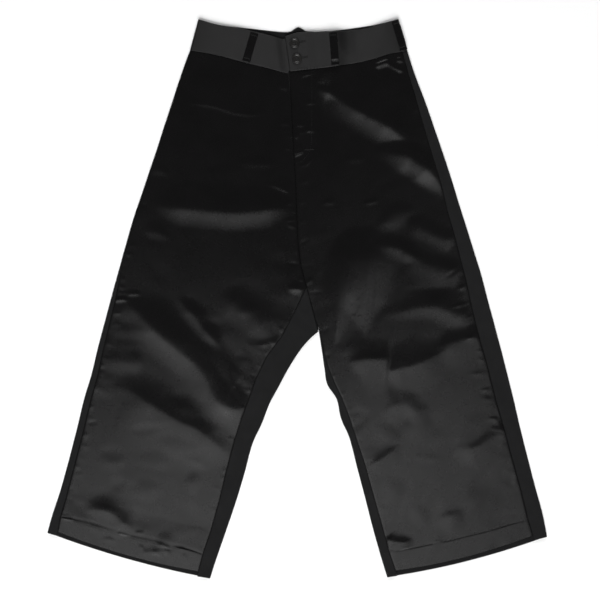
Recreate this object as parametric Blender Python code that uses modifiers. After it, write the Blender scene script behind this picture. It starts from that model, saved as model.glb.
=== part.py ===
"""Wide-leg trousers laid flat on their back.

Satin fronts, matte backs that wrap a little way round onto the front, a satin waistband with two buttons,
and belt loops. The waist is towards +Y, the front faces +Z and the back rests on the ground plane. Left and
right are the wearer's, so the right leg lies at -X. The tables are in millimetres and the meshes in metres.
"""

import math
from collections import namedtuple

import bmesh
import bpy
from mathutils import Vector

COLLECTION_NAME = "wide_leg_trousers"
MM = 0.001

# Cloth and gaps, in millimetres.
WALL = 1.2
BAND_WALL = 2.0
SEAM_GAP = 0.3

# A fold in the laid cloth is half of an eight-sided round. Each face reaches this share of the radius to
# either side of its middle. A seam at the fold itself lies this far up from the fold's outermost line.
FACE_REACH = math.tan(math.pi / 8)
SEAM_AT_FOLD = 0.5

# How the panels are divided.
ROWS_PER_SECTION = 2
FRONT_COLUMNS = 13
FLOOR_COLUMNS = 6
BAND_ROWS = 4

# The front hem is pressed this share of the hem's depth above the back hem.
FRONT_HEM_SHARE = 0.22
HEM_SECTIONS = 2
SINGLE_CLOTH = 0.5
DOUBLE_CLOTH = 1.0

# Folds in the cloth die away over this distance from the laid garment's edges, and their crests sink
# towards both ends as this power of a sine wave.
EDGE_EASE = 20.0
CREST_POWER = 0.7

# The laid garment in sections from the hem up to the waistband. outer is the outermost point of the side
# fold, strip the width of back cloth that shows on the front beside it, seam the edge of the front panel on
# the inner side, fold the outermost point of the inner leg, which ends at the fork, bow how far the section
# hangs below a straight line, and half is half of the laid thickness.
Section = namedtuple("Section", "outer_x outer_y strip seam_x seam_y fold_x fold_y bow half")

# The outline between sections is curved, and the seams and the rest run straight.
CURVED_COLUMNS = ("outer_x", "outer_y", "fold_x", "fold_y")

RIGHT_SIDE = (
    Section(-449, -420, 18, -179.5, -498, -156.5, -502, 7.0, 3.2),
    Section(-440, -388, 15, -169, -458, -146, -469, 6.0, 3.2),
    Section(-426, -345, 13, -154, -414, -129, -420, 4.0, 2.2),
    Section(-411, -291, 12, -139, -360, -111, -367, 2.0, 2.2),
    Section(-397, -237, 12, -126, -306, -95, -314, 0.0, 2.2),
    Section(-384, -183, 12, -112, -253, -81, -262, 0.0, 2.2),
    Section(-370, -136, 11, -100, -216, -64, -225, 0.0, 2.2),
    Section(-359, -90, 10, -87, -181, -50, -189, 0.0, 2.2),
    Section(-346, -41, 9, -74, -144, -35, -161, 0.0, 2.2),
    Section(-334, 4, 8, -55, -104, -15, -124, 0.0, 2.2),
    Section(-321, 51, 4, -28, -68, 5, -93, 0.0, 2.2),
    Section(-308, 98, 0, -3, -21, 22, -73, 0.0, 2.2),
    Section(-294, 146, 0, 16.3, 20, 38.5, -58.5, 0.0, 2.2),
    Section(-281, 184, 0, 6, 62, None, None, 0.0, 2.2),
    Section(-267, 226, 0, 1, 105, None, None, 0.0, 2.2),
    Section(-253, 267, 0, -1, 157, None, None, 0.0, 2.2),
    Section(-240, 308, 0, -3, 213, None, None, 0.0, 2.2),
    Section(-227, 347, 0, -7, 274, None, None, 0.0, 2.3),
    Section(-215, 384, 0, -10, 335, None, None, 0.0, 2.5),
    Section(-204, 416, 0, -12, 375, None, None, 0.0, 2.8),
    Section(-193, 445, 0, -14, 404, None, None, 0.0, 3.0),
)

LEFT_SIDE = (
    Section(449, -427, 24, 179.5, -497, 161.5, -500, 7.7, 3.2),
    Section(441, -387, 28, 165, -455, 149, -459, 6.0, 3.2),
    Section(428, -339, 26, 152, -407, 135.5, -411, 4.0, 2.2),
    Section(414, -285, 27, 137, -354, 122, -358, 2.0, 2.2),
    Section(400.5, -231, 28, 122, -300, 107.5, -303, 0.0, 2.2),
    Section(388, -177, 31, 105, -248, 94, -251, 0.0, 2.2),
    Section(379, -141, 31, 93, -212, 78.5, -215, 0.0, 2.2),
    Section(370, -105, 31, 80, -178, 71, -181, 0.0, 2.2),
    Section(361.5, -73, 32, 67, -151, 54, -154, 0.0, 2.2),
    Section(352, -37, 32, 56, -124, 49, -126, 0.0, 2.2),
    Section(342.5, -2, 31, 47.4, -96.9, 45, -98, 0.0, 2.2),
    Section(331, 42, 29, 40.4, -57.9, 38.8, -58.5, 0.0, 2.2),
    Section(318, 84, 27, 31.3, -32, None, None, 0.0, 2.2),
    Section(305, 126, 25, 23.7, -5, None, None, 0.0, 2.2),
    Section(291, 170, 24, 16.6, 20, None, None, 0.0, 2.2),
    Section(277, 216, 21, 6, 62, None, None, 0.0, 2.2),
    Section(261.5, 263, 20, 1, 105, None, None, 0.0, 2.2),
    Section(247, 305, 18, -1, 157, None, None, 0.0, 2.2),
    Section(235, 340, 16, -3, 213, None, None, 0.0, 2.2),
    Section(224, 370, 13, -7, 274, None, None, 0.0, 2.3),
    Section(214, 396, 11, -10, 335, None, None, 0.0, 2.5),
    Section(206, 419, 10, -12, 375, None, None, 0.0, 2.8),
    Section(198, 444, 9, -14, 406, None, None, 0.0, 3.0),
)

# The centre back seam runs straight from the fork up to the waistband.
CENTRE_BACK_FORK = Vector((38.65, -58.5))
CENTRE_BACK_WAIST = Vector((1.0, 418.0))

# The waistband from the side fold to the centre front: its lower and its upper edge.
BandSection = namedtuple("BandSection", "lower_x lower_y upper_x upper_y")

BAND_RIGHT = (
    BandSection(-193, 446, -178, 502),
    BandSection(-147, 438, -147, 493),
    BandSection(-102, 426, -102, 485),
    BandSection(-57, 415, -61, 476),
    BandSection(-17, 405.2, -26, 466.5),
    BandSection(-14, 409.5, -23, 467),
    BandSection(14, 412.5, 7, 470),
)

BAND_LEFT = (
    BandSection(198, 445, 181, 502),
    BandSection(168, 440, 159, 496),
    BandSection(132, 429, 130, 487),
    BandSection(87, 420, 87, 481),
    BandSection(42, 414, 42, 479),
    BandSection(6, 410, 2, 478),
    BandSection(-13, 408, -22, 471),
)

BAND_BACK = (
    BandSection(-193, 446, -178, 502),
    BandSection(-147, 434, -149, 494),
    BandSection(-84, 423.2, -84, 486),
    BandSection(-30, 418.7, -28, 480),
    BandSection(-12, 418.1, -12, 481),
    BandSection(2, 418, 2, 488),
    BandSection(17, 418.2, 17, 481.5),
    BandSection(60, 420.6, 60, 482),
    BandSection(96, 424.8, 96, 486),
    BandSection(135, 431.4, 135, 492),
    BandSection(198, 445, 181, 502),
)

BAND_HALF = 3.6
BAND_FLAT_COLUMNS = 9
UNDERLAP_TOP = 5.9
UNDERLAP_BENDS = (-34.0, -17.0)
OVERLAP_TOP = UNDERLAP_TOP + SEAM_GAP + BAND_WALL
OVERLAP_BENDS = (44.0, 17.0)

# Belt loops lie on the band: the middle of the lower end, of the upper end, and whether they are on the
# front.
Loop = namedtuple("Loop", "name lower_x lower_y upper_x upper_y on_front")

LOOP_WIDTH = 14.0
LOOP_WALL = 1.2
LOOP_ROWS = 6
LOOPS = (
    Loop("loop_front_right", -92.0, 425.5, -76.5, 478.0, True),
    Loop("loop_front_left", 68.5, 419.0, 64.0, 478.5, True),
    Loop("loop_side_right", -168.0, 443.0, -161.2, 494.0, False),
    Loop("loop_centre_back", 2.0, 421.0, 2.0, 483.0, False),
)
SIDE_LOOP_NAME = "loop_side_left"
SIDE_LOOP_RUN = 9.0
SIDE_LOOP_ENDS = (0.03, 0.97)

# A hidden loop lies in a shallow dent of the band's underside, which eases out over its margin.
DENT_DEPTH = LOOP_WALL + SEAM_GAP
DENT_CLEAR = 1.0
DENT_MARGIN = 5.0

# Buttons: centre of each, and the turned profile as radius and height, from the top middle down. Points of
# the turned shape that are nearer than the merge distance become one.
BUTTON_PLACES = {"button_top": (-5.0, 458.5), "button_bottom": (-0.5, 430.5)}
BUTTON_PROFILE = (
    (0.0, 2.3),
    (5.6, 2.3),
    (6.6, 3.0),
    (8.2, 3.0),
    (9.0, 2.2),
    (9.0, 1.2),
    (7.6, 0.0),
    (0.0, 0.0),
)
BUTTON_STEPS = 24
BUTTON_MERGE = 0.01

# The largest folds in the fronts, as a crest between two points: bow is how far its middle stands to the
# left of the straight way, height is above the smooth cloth, and left_run and right_run are the widths of
# its two slopes.
Fold = namedtuple("Fold", "start_x start_y end_x end_y bow height left_run right_run")

FOLDS = (
    Fold(-262, 163, 2, 163, 0, 5.5, 20, 42),
    Fold(-322, 8, -96, -212, 12, 9.0, 34, 46),
    Fold(-318, -186, -132, -276, -4, 6.0, 22, 38),
    Fold(-134, 24, -80, -82, 0, 3.5, 30, 30),
    Fold(-388, -366, -286, -424, -4, 5.0, 34, 18),
    Fold(26, 380, 206, 274, 10, 5.5, 20, 30),
    Fold(156, 264, 268, 178, 6, 4.5, 20, 32),
    Fold(196, 142, 292, 88, 6, 4.0, 20, 28),
    Fold(152, 72, 92, -66, 0, 6.0, 44, 40),
    Fold(186, -20, 326, -18, 4, 5.5, 22, 30),
    Fold(84, -100, 326, -68, -34, 8.0, 30, 36),
    Fold(378, -222, 272, -284, 4, 4.0, 24, 22),
    Fold(246, -378, 356, -330, 0, 4.0, 24, 26),
)

# Principled BSDF values: colour, roughness, metallic and sheen.
Finish = namedtuple("Finish", "colour roughness metallic sheen")

FINISHES = {
    "black_satin": Finish((0.016, 0.016, 0.018), 0.34, 0.0, 0.2),
    "matte_black_cloth": Finish((0.014, 0.014, 0.015), 0.9, 0.0, 0.35),
    "black_horn": Finish((0.012, 0.012, 0.012), 0.3, 0.0, 0.0),
}


def clear_scene():
    """Removes every object, so that the script gives the same result wherever it starts."""
    for old in list(bpy.data.objects):
        bpy.data.objects.remove(old, do_unlink=True)


def make_material(name):
    finish = FINISHES[name]
    material = bpy.data.materials.new(name)
    material.use_nodes = True
    shader = material.node_tree.nodes["Principled BSDF"]
    shader.inputs["Base Color"].default_value = (*finish.colour, 1.0)
    shader.inputs["Roughness"].default_value = finish.roughness
    shader.inputs["Metallic"].default_value = finish.metallic
    shader.inputs["Sheen Weight"].default_value = finish.sheen
    material.diffuse_color = (*finish.colour, 1.0)
    return material


def smooth_step(share):
    share = max(0.0, min(1.0, share))
    return share * share * (3.0 - 2.0 * share)


def curve_value(first, last, first_slope, last_slope, share):
    """A cubic curve from first to last, with its slopes for a share from 0 to 1."""
    square, cube = share**2, share**3
    return (
        first * (2 * cube - 3 * square + 1)
        + last * (3 * square - 2 * cube)
        + first_slope * (cube - 2 * square + share)
        + last_slope * (cube - square)
    )


def between(table, number, share):
    """The section a share of the way from one section to the next; a column that either lacks stays empty."""
    if share == 0:
        return table[number]
    values = []
    for column in Section._fields:
        low, high = getattr(table[number], column), getattr(table[number + 1], column)
        if low is None or high is None:
            values.append(None)
            continue
        slopes = [high - low, high - low]
        if column in CURVED_COLUMNS:
            before = getattr(table[max(number - 1, 0)], column)
            after = getattr(table[min(number + 2, len(table) - 1)], column)
            if number > 0:
                slopes[0] = (high - before) / 2
            if after is not None:
                slopes[1] = (after - low) / 2
        values.append(curve_value(low, high, *slopes, share))
    return Section(*values)


def divided(table):
    """The sections of a table with the same number of steps between each two."""
    rows = []
    for number in range(len(table) - 1):
        rows.extend(between(table, number, step / ROWS_PER_SECTION) for step in range(ROWS_PER_SECTION))
    rows.append(table[-1])
    return rows


def smooth_value(points, x):
    """A smooth curve through points in order of x, read at x."""
    points = sorted(points)
    last = len(points) - 1

    def slope(i):
        before, after = points[max(i - 1, 0)], points[min(i + 1, last)]
        return (after[1] - before[1]) / (after[0] - before[0])

    i = 0
    while i < last - 1 and x > points[i + 1][0]:
        i += 1
    (x0, y0), (x1, y1) = points[i], points[i + 1]
    width = x1 - x0
    share = max(0.0, min(1.0, (x - x0) / width))
    return curve_value(y0, y1, width * slope(i), width * slope(i + 1), share)


def straight_value(points, x):
    """A line through points in order of x, read at x and carried on straight past its ends."""
    points = sorted(points)
    i = 0
    while i < len(points) - 2 and x > points[i + 1][0]:
        i += 1
    (x0, y0), (x1, y1) = points[i], points[i + 1]
    return y0 + (y1 - y0) * (x - x0) / (x1 - x0)


def relief(x, y):
    """How high the folds raise the front cloth above its smooth lie."""
    height = 0.0
    for fold in FOLDS:
        way = Vector((fold.end_x - fold.start_x, fold.end_y - fold.start_y))
        length = way.length
        way /= length
        left = Vector((-way.y, way.x))
        place = Vector((x - fold.start_x, y - fold.start_y))
        share = place.dot(way) / length
        if not 0.0 < share < 1.0:
            continue
        aside = place.dot(left) - fold.bow * 4.0 * share * (1.0 - share)
        run = fold.left_run if aside > 0 else fold.right_run
        across = 0.5 + 0.5 * math.cos(math.pi * min(1.0, abs(aside) / run))
        height = max(height, fold.height * across * math.sin(math.pi * share) ** CREST_POWER)
    return height


class FoldEdge:
    """The half-round where the laid cloth turns over at one section.

    Places are given by the distance along the cloth from the outermost line: positive up over the top, negative
    under the bottom. The seam is where front and back cloth meet, on the top or part of the way round.
    """

    def __init__(self, edge, inward, half, seam):
        self.edge = edge
        self.inward = inward
        self.half = half
        self.face = half * FACE_REACH
        level = half - self.face
        run = seam - (edge + inward * level)
        self.seam_on_top = (seam - edge).length > level
        self.run = run.normalized() if self.seam_on_top else inward
        self.seam_along = 3 * self.face + run.length if self.seam_on_top else SEAM_AT_FOLD

    def point(self, along):
        """The place on the upright face, the slanted face or the level run that the distance reaches."""
        slanted = max(0.0, min(2 * self.face, abs(along) - self.face)) * math.sqrt(0.5)
        rise = min(self.face, abs(along)) + slanted
        beyond = max(0.0, abs(along) - 3 * self.face)
        run = self.run if along > 0 else self.inward
        plan = self.edge + self.inward * slanted + run * beyond
        return Vector((plan.x, plan.y, self.half + math.copysign(rise, along)))

    def back_points(self):
        """The back cloth from its seam, round the fold, to where it reaches the bottom."""
        start = self.seam_along - SEAM_GAP / 2
        if self.seam_on_top:
            upper = [start, (start + 3 * self.face) / 2, 3 * self.face, self.face]
        else:
            upper = [start - (start + self.face) * k / 4 for k in range(4)]
        return [self.point(along) for along in (*upper, -self.face, -3 * self.face)]

    def front_points(self, seam, inward):
        """The front cloth's first three places in from the seam."""
        start = SEAM_GAP / 2
        if not self.seam_on_top:
            return [self.point(along) for along in (self.seam_along + start, self.face, 3 * self.face)]
        places = [seam + inward * away for away in (start, start + self.face, start + 3 * self.face)]
        return [Vector((place.x, place.y, 2 * self.half)) for place in places]


class Row:
    """One section of one side of the trousers, with the places that its panels are made from."""

    def __init__(self, section):
        self.half = section.half
        self.bow = section.bow
        self.outer = Vector((section.outer_x, section.outer_y))
        self.seam = Vector((section.seam_x, section.seam_y))
        inward = (self.seam - self.outer).normalized()
        self.outseam = self.outer + inward * section.strip
        self.outer_edge = FoldEdge(self.outer, inward, self.half, self.outseam)
        self.inner = None
        if section.fold_x is not None:
            self.inner = Vector((section.fold_x, section.fold_y))
            back = (self.outer - self.inner).normalized()
            self.inner_edge = FoldEdge(self.inner, back, self.half, self.seam)

    def raised(self, point):
        """A point of the top cloth, lifted by the folds, which die away towards the edges."""
        if point.z < 2 * self.half - SEAM_GAP:
            return point
        plan = point.xy
        clear = (plan - self.outer).length
        if self.inner is not None:
            clear = min(clear, (plan - self.inner).length)
        ease = smooth_step((clear - self.half) / EDGE_EASE)
        return Vector((point.x, point.y, point.z + relief(point.x, point.y) * ease))

    def hung(self, start, end, share):
        """A place on the way from start to end, which hangs in a shallow bow."""
        drop = Vector((0.0, -self.bow * 4.0 * share * (1.0 - share)))
        return start.lerp(end, share) + drop

    def front(self):
        across = (self.seam - self.outseam).normalized()
        near = self.outer_edge.front_points(self.outseam, across)
        if self.inner is not None:
            far = self.inner_edge.front_points(self.seam, -across)
        else:
            steps = (SEAM_GAP / 2, self.half, 2 * self.half)
            places = [self.seam - across * away for away in steps]
            far = [Vector((place.x, place.y, 2 * self.half)) for place in places]
        middle = []
        for k in range(1, FRONT_COLUMNS):
            place = self.hung(near[-1].xy, far[-1].xy, k / FRONT_COLUMNS)
            middle.append(Vector((place.x, place.y, 2 * self.half)))
        return [self.raised(point) for point in near + middle + far[::-1]]

    def back(self, centre_back):
        """The back cloth from the outseam round to the inner seam, or above the fork to the centre back."""
        points = self.outer_edge.back_points()
        if self.inner is not None:
            rising = self.inner_edge.back_points()[::-1]
            floor_end = rising[0].xy
        else:
            rising = []
            floor_end = centre_back
        start = points[-1].xy
        for k in range(1, FLOOR_COLUMNS + (self.inner is None)):
            place = self.hung(start, floor_end, k / FLOOR_COLUMNS)
            points.append(Vector((place.x, place.y, 0.0)))
        return [self.raised(point) for point in points + rising]


def build_sheet(name, rows, wall, flip, material, collection, doubled_rows=0):
    """A sheet of cloth through rows of points, made solid towards its inside.

    Neighbouring rows are joined over the columns that both have. The first doubled_rows rows are two layers thick.
    """
    mesh = bpy.data.meshes.new(name)
    bm = bmesh.new()
    weights = bm.verts.layers.deform.verify()
    placed = []
    for number, row in enumerate(rows):
        cloth = DOUBLE_CLOTH if number < doubled_rows else SINGLE_CLOTH
        placed.append([bm.verts.new(point * MM) for point in row])
        for vert in placed[-1]:
            vert[weights][0] = cloth
    for low, high in zip(placed, placed[1:]):
        for k in range(min(len(low), len(high)) - 1):
            corners = [low[k], low[k + 1], high[k + 1], high[k]]
            bm.faces.new(corners[::-1] if flip else corners)
    bm.to_mesh(mesh)
    bm.free()
    mesh.shade_smooth()
    mesh.materials.append(material)
    sheet = bpy.data.objects.new(name, mesh)
    collection.objects.link(sheet)
    sheet.vertex_groups.new(name="cloth")
    solid = sheet.modifiers.new("wall", "SOLIDIFY")
    solid.thickness = wall * MM / SINGLE_CLOTH
    solid.offset = -1.0
    solid.use_even_offset = True
    solid.vertex_group = "cloth"
    return sheet


def band_edge(table, edge, x):
    """The height on the page of a band's lower or upper edge at x."""
    points = [(getattr(row, edge + "_x"), getattr(row, edge + "_y")) for row in table]
    return smooth_value(points, x)


def band_point(table, lower_x, share, height):
    """A point of a waistband above its lower edge, share of the way up to the upper edge."""
    upper_x = straight_value([(row.lower_x, row.upper_x) for row in table], lower_x)
    low = Vector((lower_x, band_edge(table, "lower", lower_x)))
    high = Vector((upper_x, band_edge(table, "upper", upper_x)))
    plan = low.lerp(high, share)
    return Vector((plan.x, plan.y, height))


def eased_height(x, bends, before, after):
    """A height that eases from one level to another between two places."""
    return before + (after - before) * smooth_step((x - bends[0]) / (bends[1] - bends[0]))


def front_band_height(table, lower_x):
    """The top of the front waistband: it dips where it is lapped, and rises where it laps over."""
    if table is BAND_RIGHT:
        return eased_height(lower_x, UNDERLAP_BENDS, 2 * BAND_HALF, UNDERLAP_TOP)
    return eased_height(lower_x, OVERLAP_BENDS, 2 * BAND_HALF, OVERLAP_TOP)


def band_fold(side, toward_top):
    """The columns round a waistband's side fold, from its seam: the place on the lower edge and the height."""
    outermost = Vector((side, 0.0))
    edge = FoldEdge(outermost, Vector((-math.copysign(1.0, side), 0.0)), BAND_HALF, outermost)
    points = [edge.point(toward_top * along) for along in (SEAM_GAP / 2, edge.face, 3 * edge.face)]
    return [(point.x, point.z) for point in points]


def front_band_columns(table):
    """Where a front waistband's columns stand, as the place on its lower edge and the height there."""
    columns = band_fold(table[0].lower_x, 1.0)
    start = columns[-1][0]
    bends = UNDERLAP_BENDS if table is BAND_RIGHT else OVERLAP_BENDS
    for k in range(1, BAND_FLAT_COLUMNS + 1):
        columns.append((start + (bends[0] - start) * k / BAND_FLAT_COLUMNS, 2 * BAND_HALF))
    way = math.copysign(1.0, bends[1] - bends[0])
    rest = [(bends[0] + bends[1]) / 2, bends[1]]
    rest.extend(row.lower_x for row in table if (row.lower_x - bends[1]) * way > 0)
    columns.extend((x, front_band_height(table, x)) for x in rest)
    return columns


def build_front_band(name, table, material, collection):
    rows = []
    for number in range(BAND_ROWS + 1):
        share = number / BAND_ROWS
        rows.append([band_point(table, x, share, height) for x, height in front_band_columns(table)])
    build_sheet(name, rows, BAND_WALL, table is BAND_LEFT, material, collection)


def dents():
    """The middles of the hidden loops on the back waistband's lower edge, and how far each leans on its way up."""
    return [(loop.lower_x, loop.upper_x) for loop in LOOPS if not loop.on_front]


def under_height(x, share):
    """How high the back waistband's underside stands clear of the ground: only over a hidden loop."""
    height = 0.0
    for lower_x, upper_x in dents():
        away = abs(x - (lower_x + (upper_x - lower_x) * share)) - LOOP_WIDTH / 2 - DENT_CLEAR
        height = max(height, DENT_DEPTH * (1 - smooth_step(away / DENT_MARGIN)))
    return height


def back_band_columns():
    """The places on the back waistband's lower edge where its columns stand, between the two folds."""
    near = LOOP_WIDTH / 2 + DENT_CLEAR
    places = []
    for lower_x, _ in dents():
        places.extend((lower_x - near - DENT_MARGIN, lower_x - near, lower_x + near, lower_x + near + DENT_MARGIN))
    places.extend(row.lower_x for row in BAND_BACK[1:-1])
    kept = []
    for place in sorted(places):
        if not kept or place - kept[-1] > DENT_CLEAR:
            kept.append(place)
    return kept


def build_back_band(name, material, collection):
    columns = band_fold(BAND_BACK[0].lower_x, -1.0)
    columns.extend((x, 0.0) for x in back_band_columns())
    columns.extend(band_fold(BAND_BACK[-1].lower_x, -1.0)[::-1])
    rows = []
    for number in range(BAND_ROWS + 1):
        share = number / BAND_ROWS
        row = []
        for x, height in columns:
            point = band_point(BAND_BACK, x, share, height)
            if height == 0.0:
                point.z = under_height(point.x, share)
            row.append(point)
        rows.append(row)
    build_sheet(name, rows, BAND_WALL, True, material, collection)


def seated_on_band(points, front_table):
    """The top row of a panel, moved to the waistband's lower edge with the seam's gap."""
    seated = []
    for point in points:
        table = front_table if point.z > BAND_HALF else BAND_BACK
        low, high = sorted((table[0].lower_x, table[-1].lower_x))
        x = max(low, min(high, point.x))
        seated.append(Vector((point.x, band_edge(table, "lower", x) - SEAM_GAP, point.z)))
    return seated


def centre_back_place(section, table, toward_side):
    """Where a section meets the centre back seam, on its own side of the seam's gap."""
    fork = next(row for row in reversed(table) if row.fold_x is not None)
    share = (section.seam_y - fork.seam_y) / (table[-1].seam_y - fork.seam_y)
    place = CENTRE_BACK_FORK.lerp(CENTRE_BACK_WAIST, max(0.0, share))
    return place + Vector((toward_side * SEAM_GAP / 2, 0.0))


def build_side(side, table, band, satin, matte, collection):
    """The front and back panels of one side of the trousers."""
    toward_side = math.copysign(1.0, table[0].outer_x)
    sections = divided(table)
    back_rows = [Row(section).back(centre_back_place(section, table, toward_side)) for section in sections]
    hem = [between(table, 0, share) for share in (FRONT_HEM_SHARE, 0.5 + FRONT_HEM_SHARE / 2)]
    front_sections = hem + sections[ROWS_PER_SECTION:]
    front_rows = [Row(section).front() for section in front_sections]
    back_rows[-1] = seated_on_band(back_rows[-1], band)
    front_rows[-1] = seated_on_band(front_rows[-1], band)
    left = toward_side > 0
    doubled = ROWS_PER_SECTION * (HEM_SECTIONS - 1) + 1
    build_sheet("front_" + side, front_rows, WALL, left, satin, collection, doubled)
    build_sheet("back_" + side, back_rows, WALL, not left, matte, collection, doubled)


def build_flat_loop(loop, material, collection):
    """A belt loop along the band: on the front it lies on the band, behind it lies in the band's dent."""
    low, high = Vector((loop.lower_x, loop.lower_y)), Vector((loop.upper_x, loop.upper_y))
    way = (high - low).normalized()
    aside = Vector((way.y, -way.x)) * LOOP_WIDTH / 2
    height = 2 * BAND_HALF + SEAM_GAP + LOOP_WALL if loop.on_front else 0.0
    rows = []
    for number in range(LOOP_ROWS):
        place = low.lerp(high, number / (LOOP_ROWS - 1))
        plans = (place - aside, place, place + aside)
        rows.append([Vector((plan.x, plan.y, height)) for plan in plans])
    build_sheet(loop.name, rows, LOOP_WALL, not loop.on_front, material, collection)


def build_side_loop(material, collection):
    """The belt loop at the left fold, bent over the band's edge."""
    radius = BAND_HALF + 2 * SEAM_GAP + LOOP_WALL
    rows = []
    for number in range(LOOP_ROWS):
        first, last = SIDE_LOOP_ENDS
        share = first + (last - first) * number / (LOOP_ROWS - 1)
        edge = band_point(BAND_LEFT, BAND_LEFT[0].lower_x, share, 0.0)
        middle = edge.x - BAND_HALF
        slanted = radius * math.sqrt(0.5)
        rows.append([
            Vector((middle + slanted, edge.y, BAND_HALF + slanted)),
            Vector((middle + radius * FACE_REACH, edge.y, BAND_HALF + radius)),
            Vector((middle - SIDE_LOOP_RUN, edge.y, BAND_HALF + radius)),
        ])
    build_sheet(SIDE_LOOP_NAME, rows, LOOP_WALL, True, material, collection)


def build_button(name, place, material, collection):
    """A turned button with a raised rim, on the lapped waistband."""
    mesh = bpy.data.meshes.new(name)
    bm = bmesh.new()
    verts = [bm.verts.new((radius * MM, 0.0, height * MM)) for radius, height in BUTTON_PROFILE]
    for first, second in zip(verts, verts[1:]):
        bm.edges.new((first, second))
    bm.to_mesh(mesh)
    bm.free()
    mesh.materials.append(material)
    button = bpy.data.objects.new(name, mesh)
    collection.objects.link(button)
    button.location = Vector((place[0], place[1], OVERLAP_TOP + SEAM_GAP)) * MM
    turned = button.modifiers.new("turned", "SCREW")
    turned.steps = BUTTON_STEPS
    turned.render_steps = BUTTON_STEPS
    turned.use_merge_vertices = True
    turned.merge_threshold = BUTTON_MERGE * MM
    turned.use_smooth_shade = True


def build_trousers():
    clear_scene()
    collection = bpy.data.collections.new(COLLECTION_NAME)
    bpy.context.scene.collection.children.link(collection)
    satin, matte, horn = (make_material(name) for name in FINISHES)
    build_side("right", RIGHT_SIDE, BAND_RIGHT, satin, matte, collection)
    build_side("left", LEFT_SIDE, BAND_LEFT, satin, matte, collection)
    build_front_band("waistband_right", BAND_RIGHT, satin, collection)
    build_front_band("waistband_left", BAND_LEFT, satin, collection)
    build_back_band("waistband_back", satin, collection)
    for loop in LOOPS:
        build_flat_loop(loop, satin, collection)
    build_side_loop(satin, collection)
    for name, place in BUTTON_PLACES.items():
        build_button(name, place, horn, collection)


build_trousers()
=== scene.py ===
"""The looks of the wide-leg trousers, laid flat on their back.

Each panel is a thin shell of cloth on its solid's form, with the laid garment's creases and puckers. The
waistband, belt loops, buttons, buttonholes and sewing lie on it. Tables are in millimetres in the frame of
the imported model: the waist is towards +Y, the front faces +Z, and left and right are the wearer's.
"""

import logging
import math
import random
from collections.abc import Sequence
from dataclasses import astuple, dataclass, replace
from enum import Enum
from functools import cache

import bpy
import numpy as np
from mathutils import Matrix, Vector
from mathutils.bvhtree import BVHTree


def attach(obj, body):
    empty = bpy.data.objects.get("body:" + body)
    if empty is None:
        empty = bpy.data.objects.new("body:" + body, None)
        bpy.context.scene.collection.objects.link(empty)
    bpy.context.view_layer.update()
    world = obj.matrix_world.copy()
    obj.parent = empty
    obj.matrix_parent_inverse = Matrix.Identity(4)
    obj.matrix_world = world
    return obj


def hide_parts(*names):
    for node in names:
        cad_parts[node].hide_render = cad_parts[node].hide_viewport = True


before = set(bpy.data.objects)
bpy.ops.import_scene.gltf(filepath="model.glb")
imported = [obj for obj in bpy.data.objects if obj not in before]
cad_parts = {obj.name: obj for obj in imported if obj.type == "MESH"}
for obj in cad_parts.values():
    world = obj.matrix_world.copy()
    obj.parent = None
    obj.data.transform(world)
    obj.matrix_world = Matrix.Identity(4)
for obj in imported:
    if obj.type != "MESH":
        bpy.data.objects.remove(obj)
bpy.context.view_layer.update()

Array = np.ndarray
Plan = tuple[float, float]
Tone = tuple[float, float, float]
Shape = tuple[Array, list[tuple[int, ...]]]
Piece = bpy.types.Object
Tree = bpy.types.NodeTree
Node = bpy.types.Node
Socket = bpy.types.NodeSocket

MM = 0.001
BODY = "root"
SEAM_GAP = 0.3
QUARTER = math.pi / 2
TINY = 1e-6

log = logging.getLogger("trousers")


# Numbers and curves


def smooth_step(share: Array | float) -> Array:
    """Eases from 0 to 1; it is level below a share of 0 and above 1."""
    share = np.clip(share, 0.0, 1.0)
    return share * share * (3.0 - 2.0 * share)


def curve_value(first: Array, last: Array, first_slope: Array, last_slope: Array, share: Array) -> Array:
    """Reads a cubic curve.

    Args:
        first: Value at the start.
        last: Value at the end.
        first_slope: Slope at the start for a share from 0 to 1.
        last_slope: Slope at the end.
        share: How far along the curve is read.

    Returns:
        The value there.
    """
    square, cube = share**2, share**3
    return (
        first * (2 * cube - 3 * square + 1)
        + last * (3 * square - 2 * cube)
        + first_slope * (cube - 2 * square + share)
        + last_slope * (cube - square)
    )


def curve_through(points: Sequence[Plan], x: Array) -> Array:
    """Reads a smooth curve through points.

    Args:
        points: The points as x and y.
        x: Where to read it; the curve is level past its ends.

    Returns:
        The heights of the curve.
    """
    xs, ys = np.array(sorted(points)).T
    slopes = np.empty(len(xs))
    slopes[1:-1] = (ys[2:] - ys[:-2]) / (xs[2:] - xs[:-2])
    slopes[0] = (ys[1] - ys[0]) / (xs[1] - xs[0])
    slopes[-1] = (ys[-1] - ys[-2]) / (xs[-1] - xs[-2])
    low = np.clip(np.searchsorted(xs, x, side="right") - 1, 0, len(xs) - 2)
    width = xs[low + 1] - xs[low]
    share = np.clip((x - xs[low]) / width, 0.0, 1.0)
    return curve_value(ys[low], ys[low + 1], slopes[low] * width, slopes[low + 1] * width, share)


def unit(vectors: Array) -> Array:
    """Scales each vector of the last axis to length 1."""
    return vectors / np.maximum(np.linalg.norm(vectors, axis=-1, keepdims=True), 1e-9)


def lengths_before(steps: Array) -> Array:
    """Adds up steps, from 0 on."""
    return np.concatenate(([0.0], np.cumsum(steps)))


def hang(bow: Array | float, share: float) -> Array | float:
    """How far a line hangs at a share of its way, when its middle hangs by bow."""
    return bow * 4.0 * share * (1.0 - share)


def edge_roll(away: Array | float, depth: float, reach: float) -> Array:
    """How deep a cloth's face sinks beside its edge, from the distance to it, the depth and the reach."""
    return depth * np.clip(1 - np.asarray(away) / reach, 0.0, 1.0) ** 2


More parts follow.
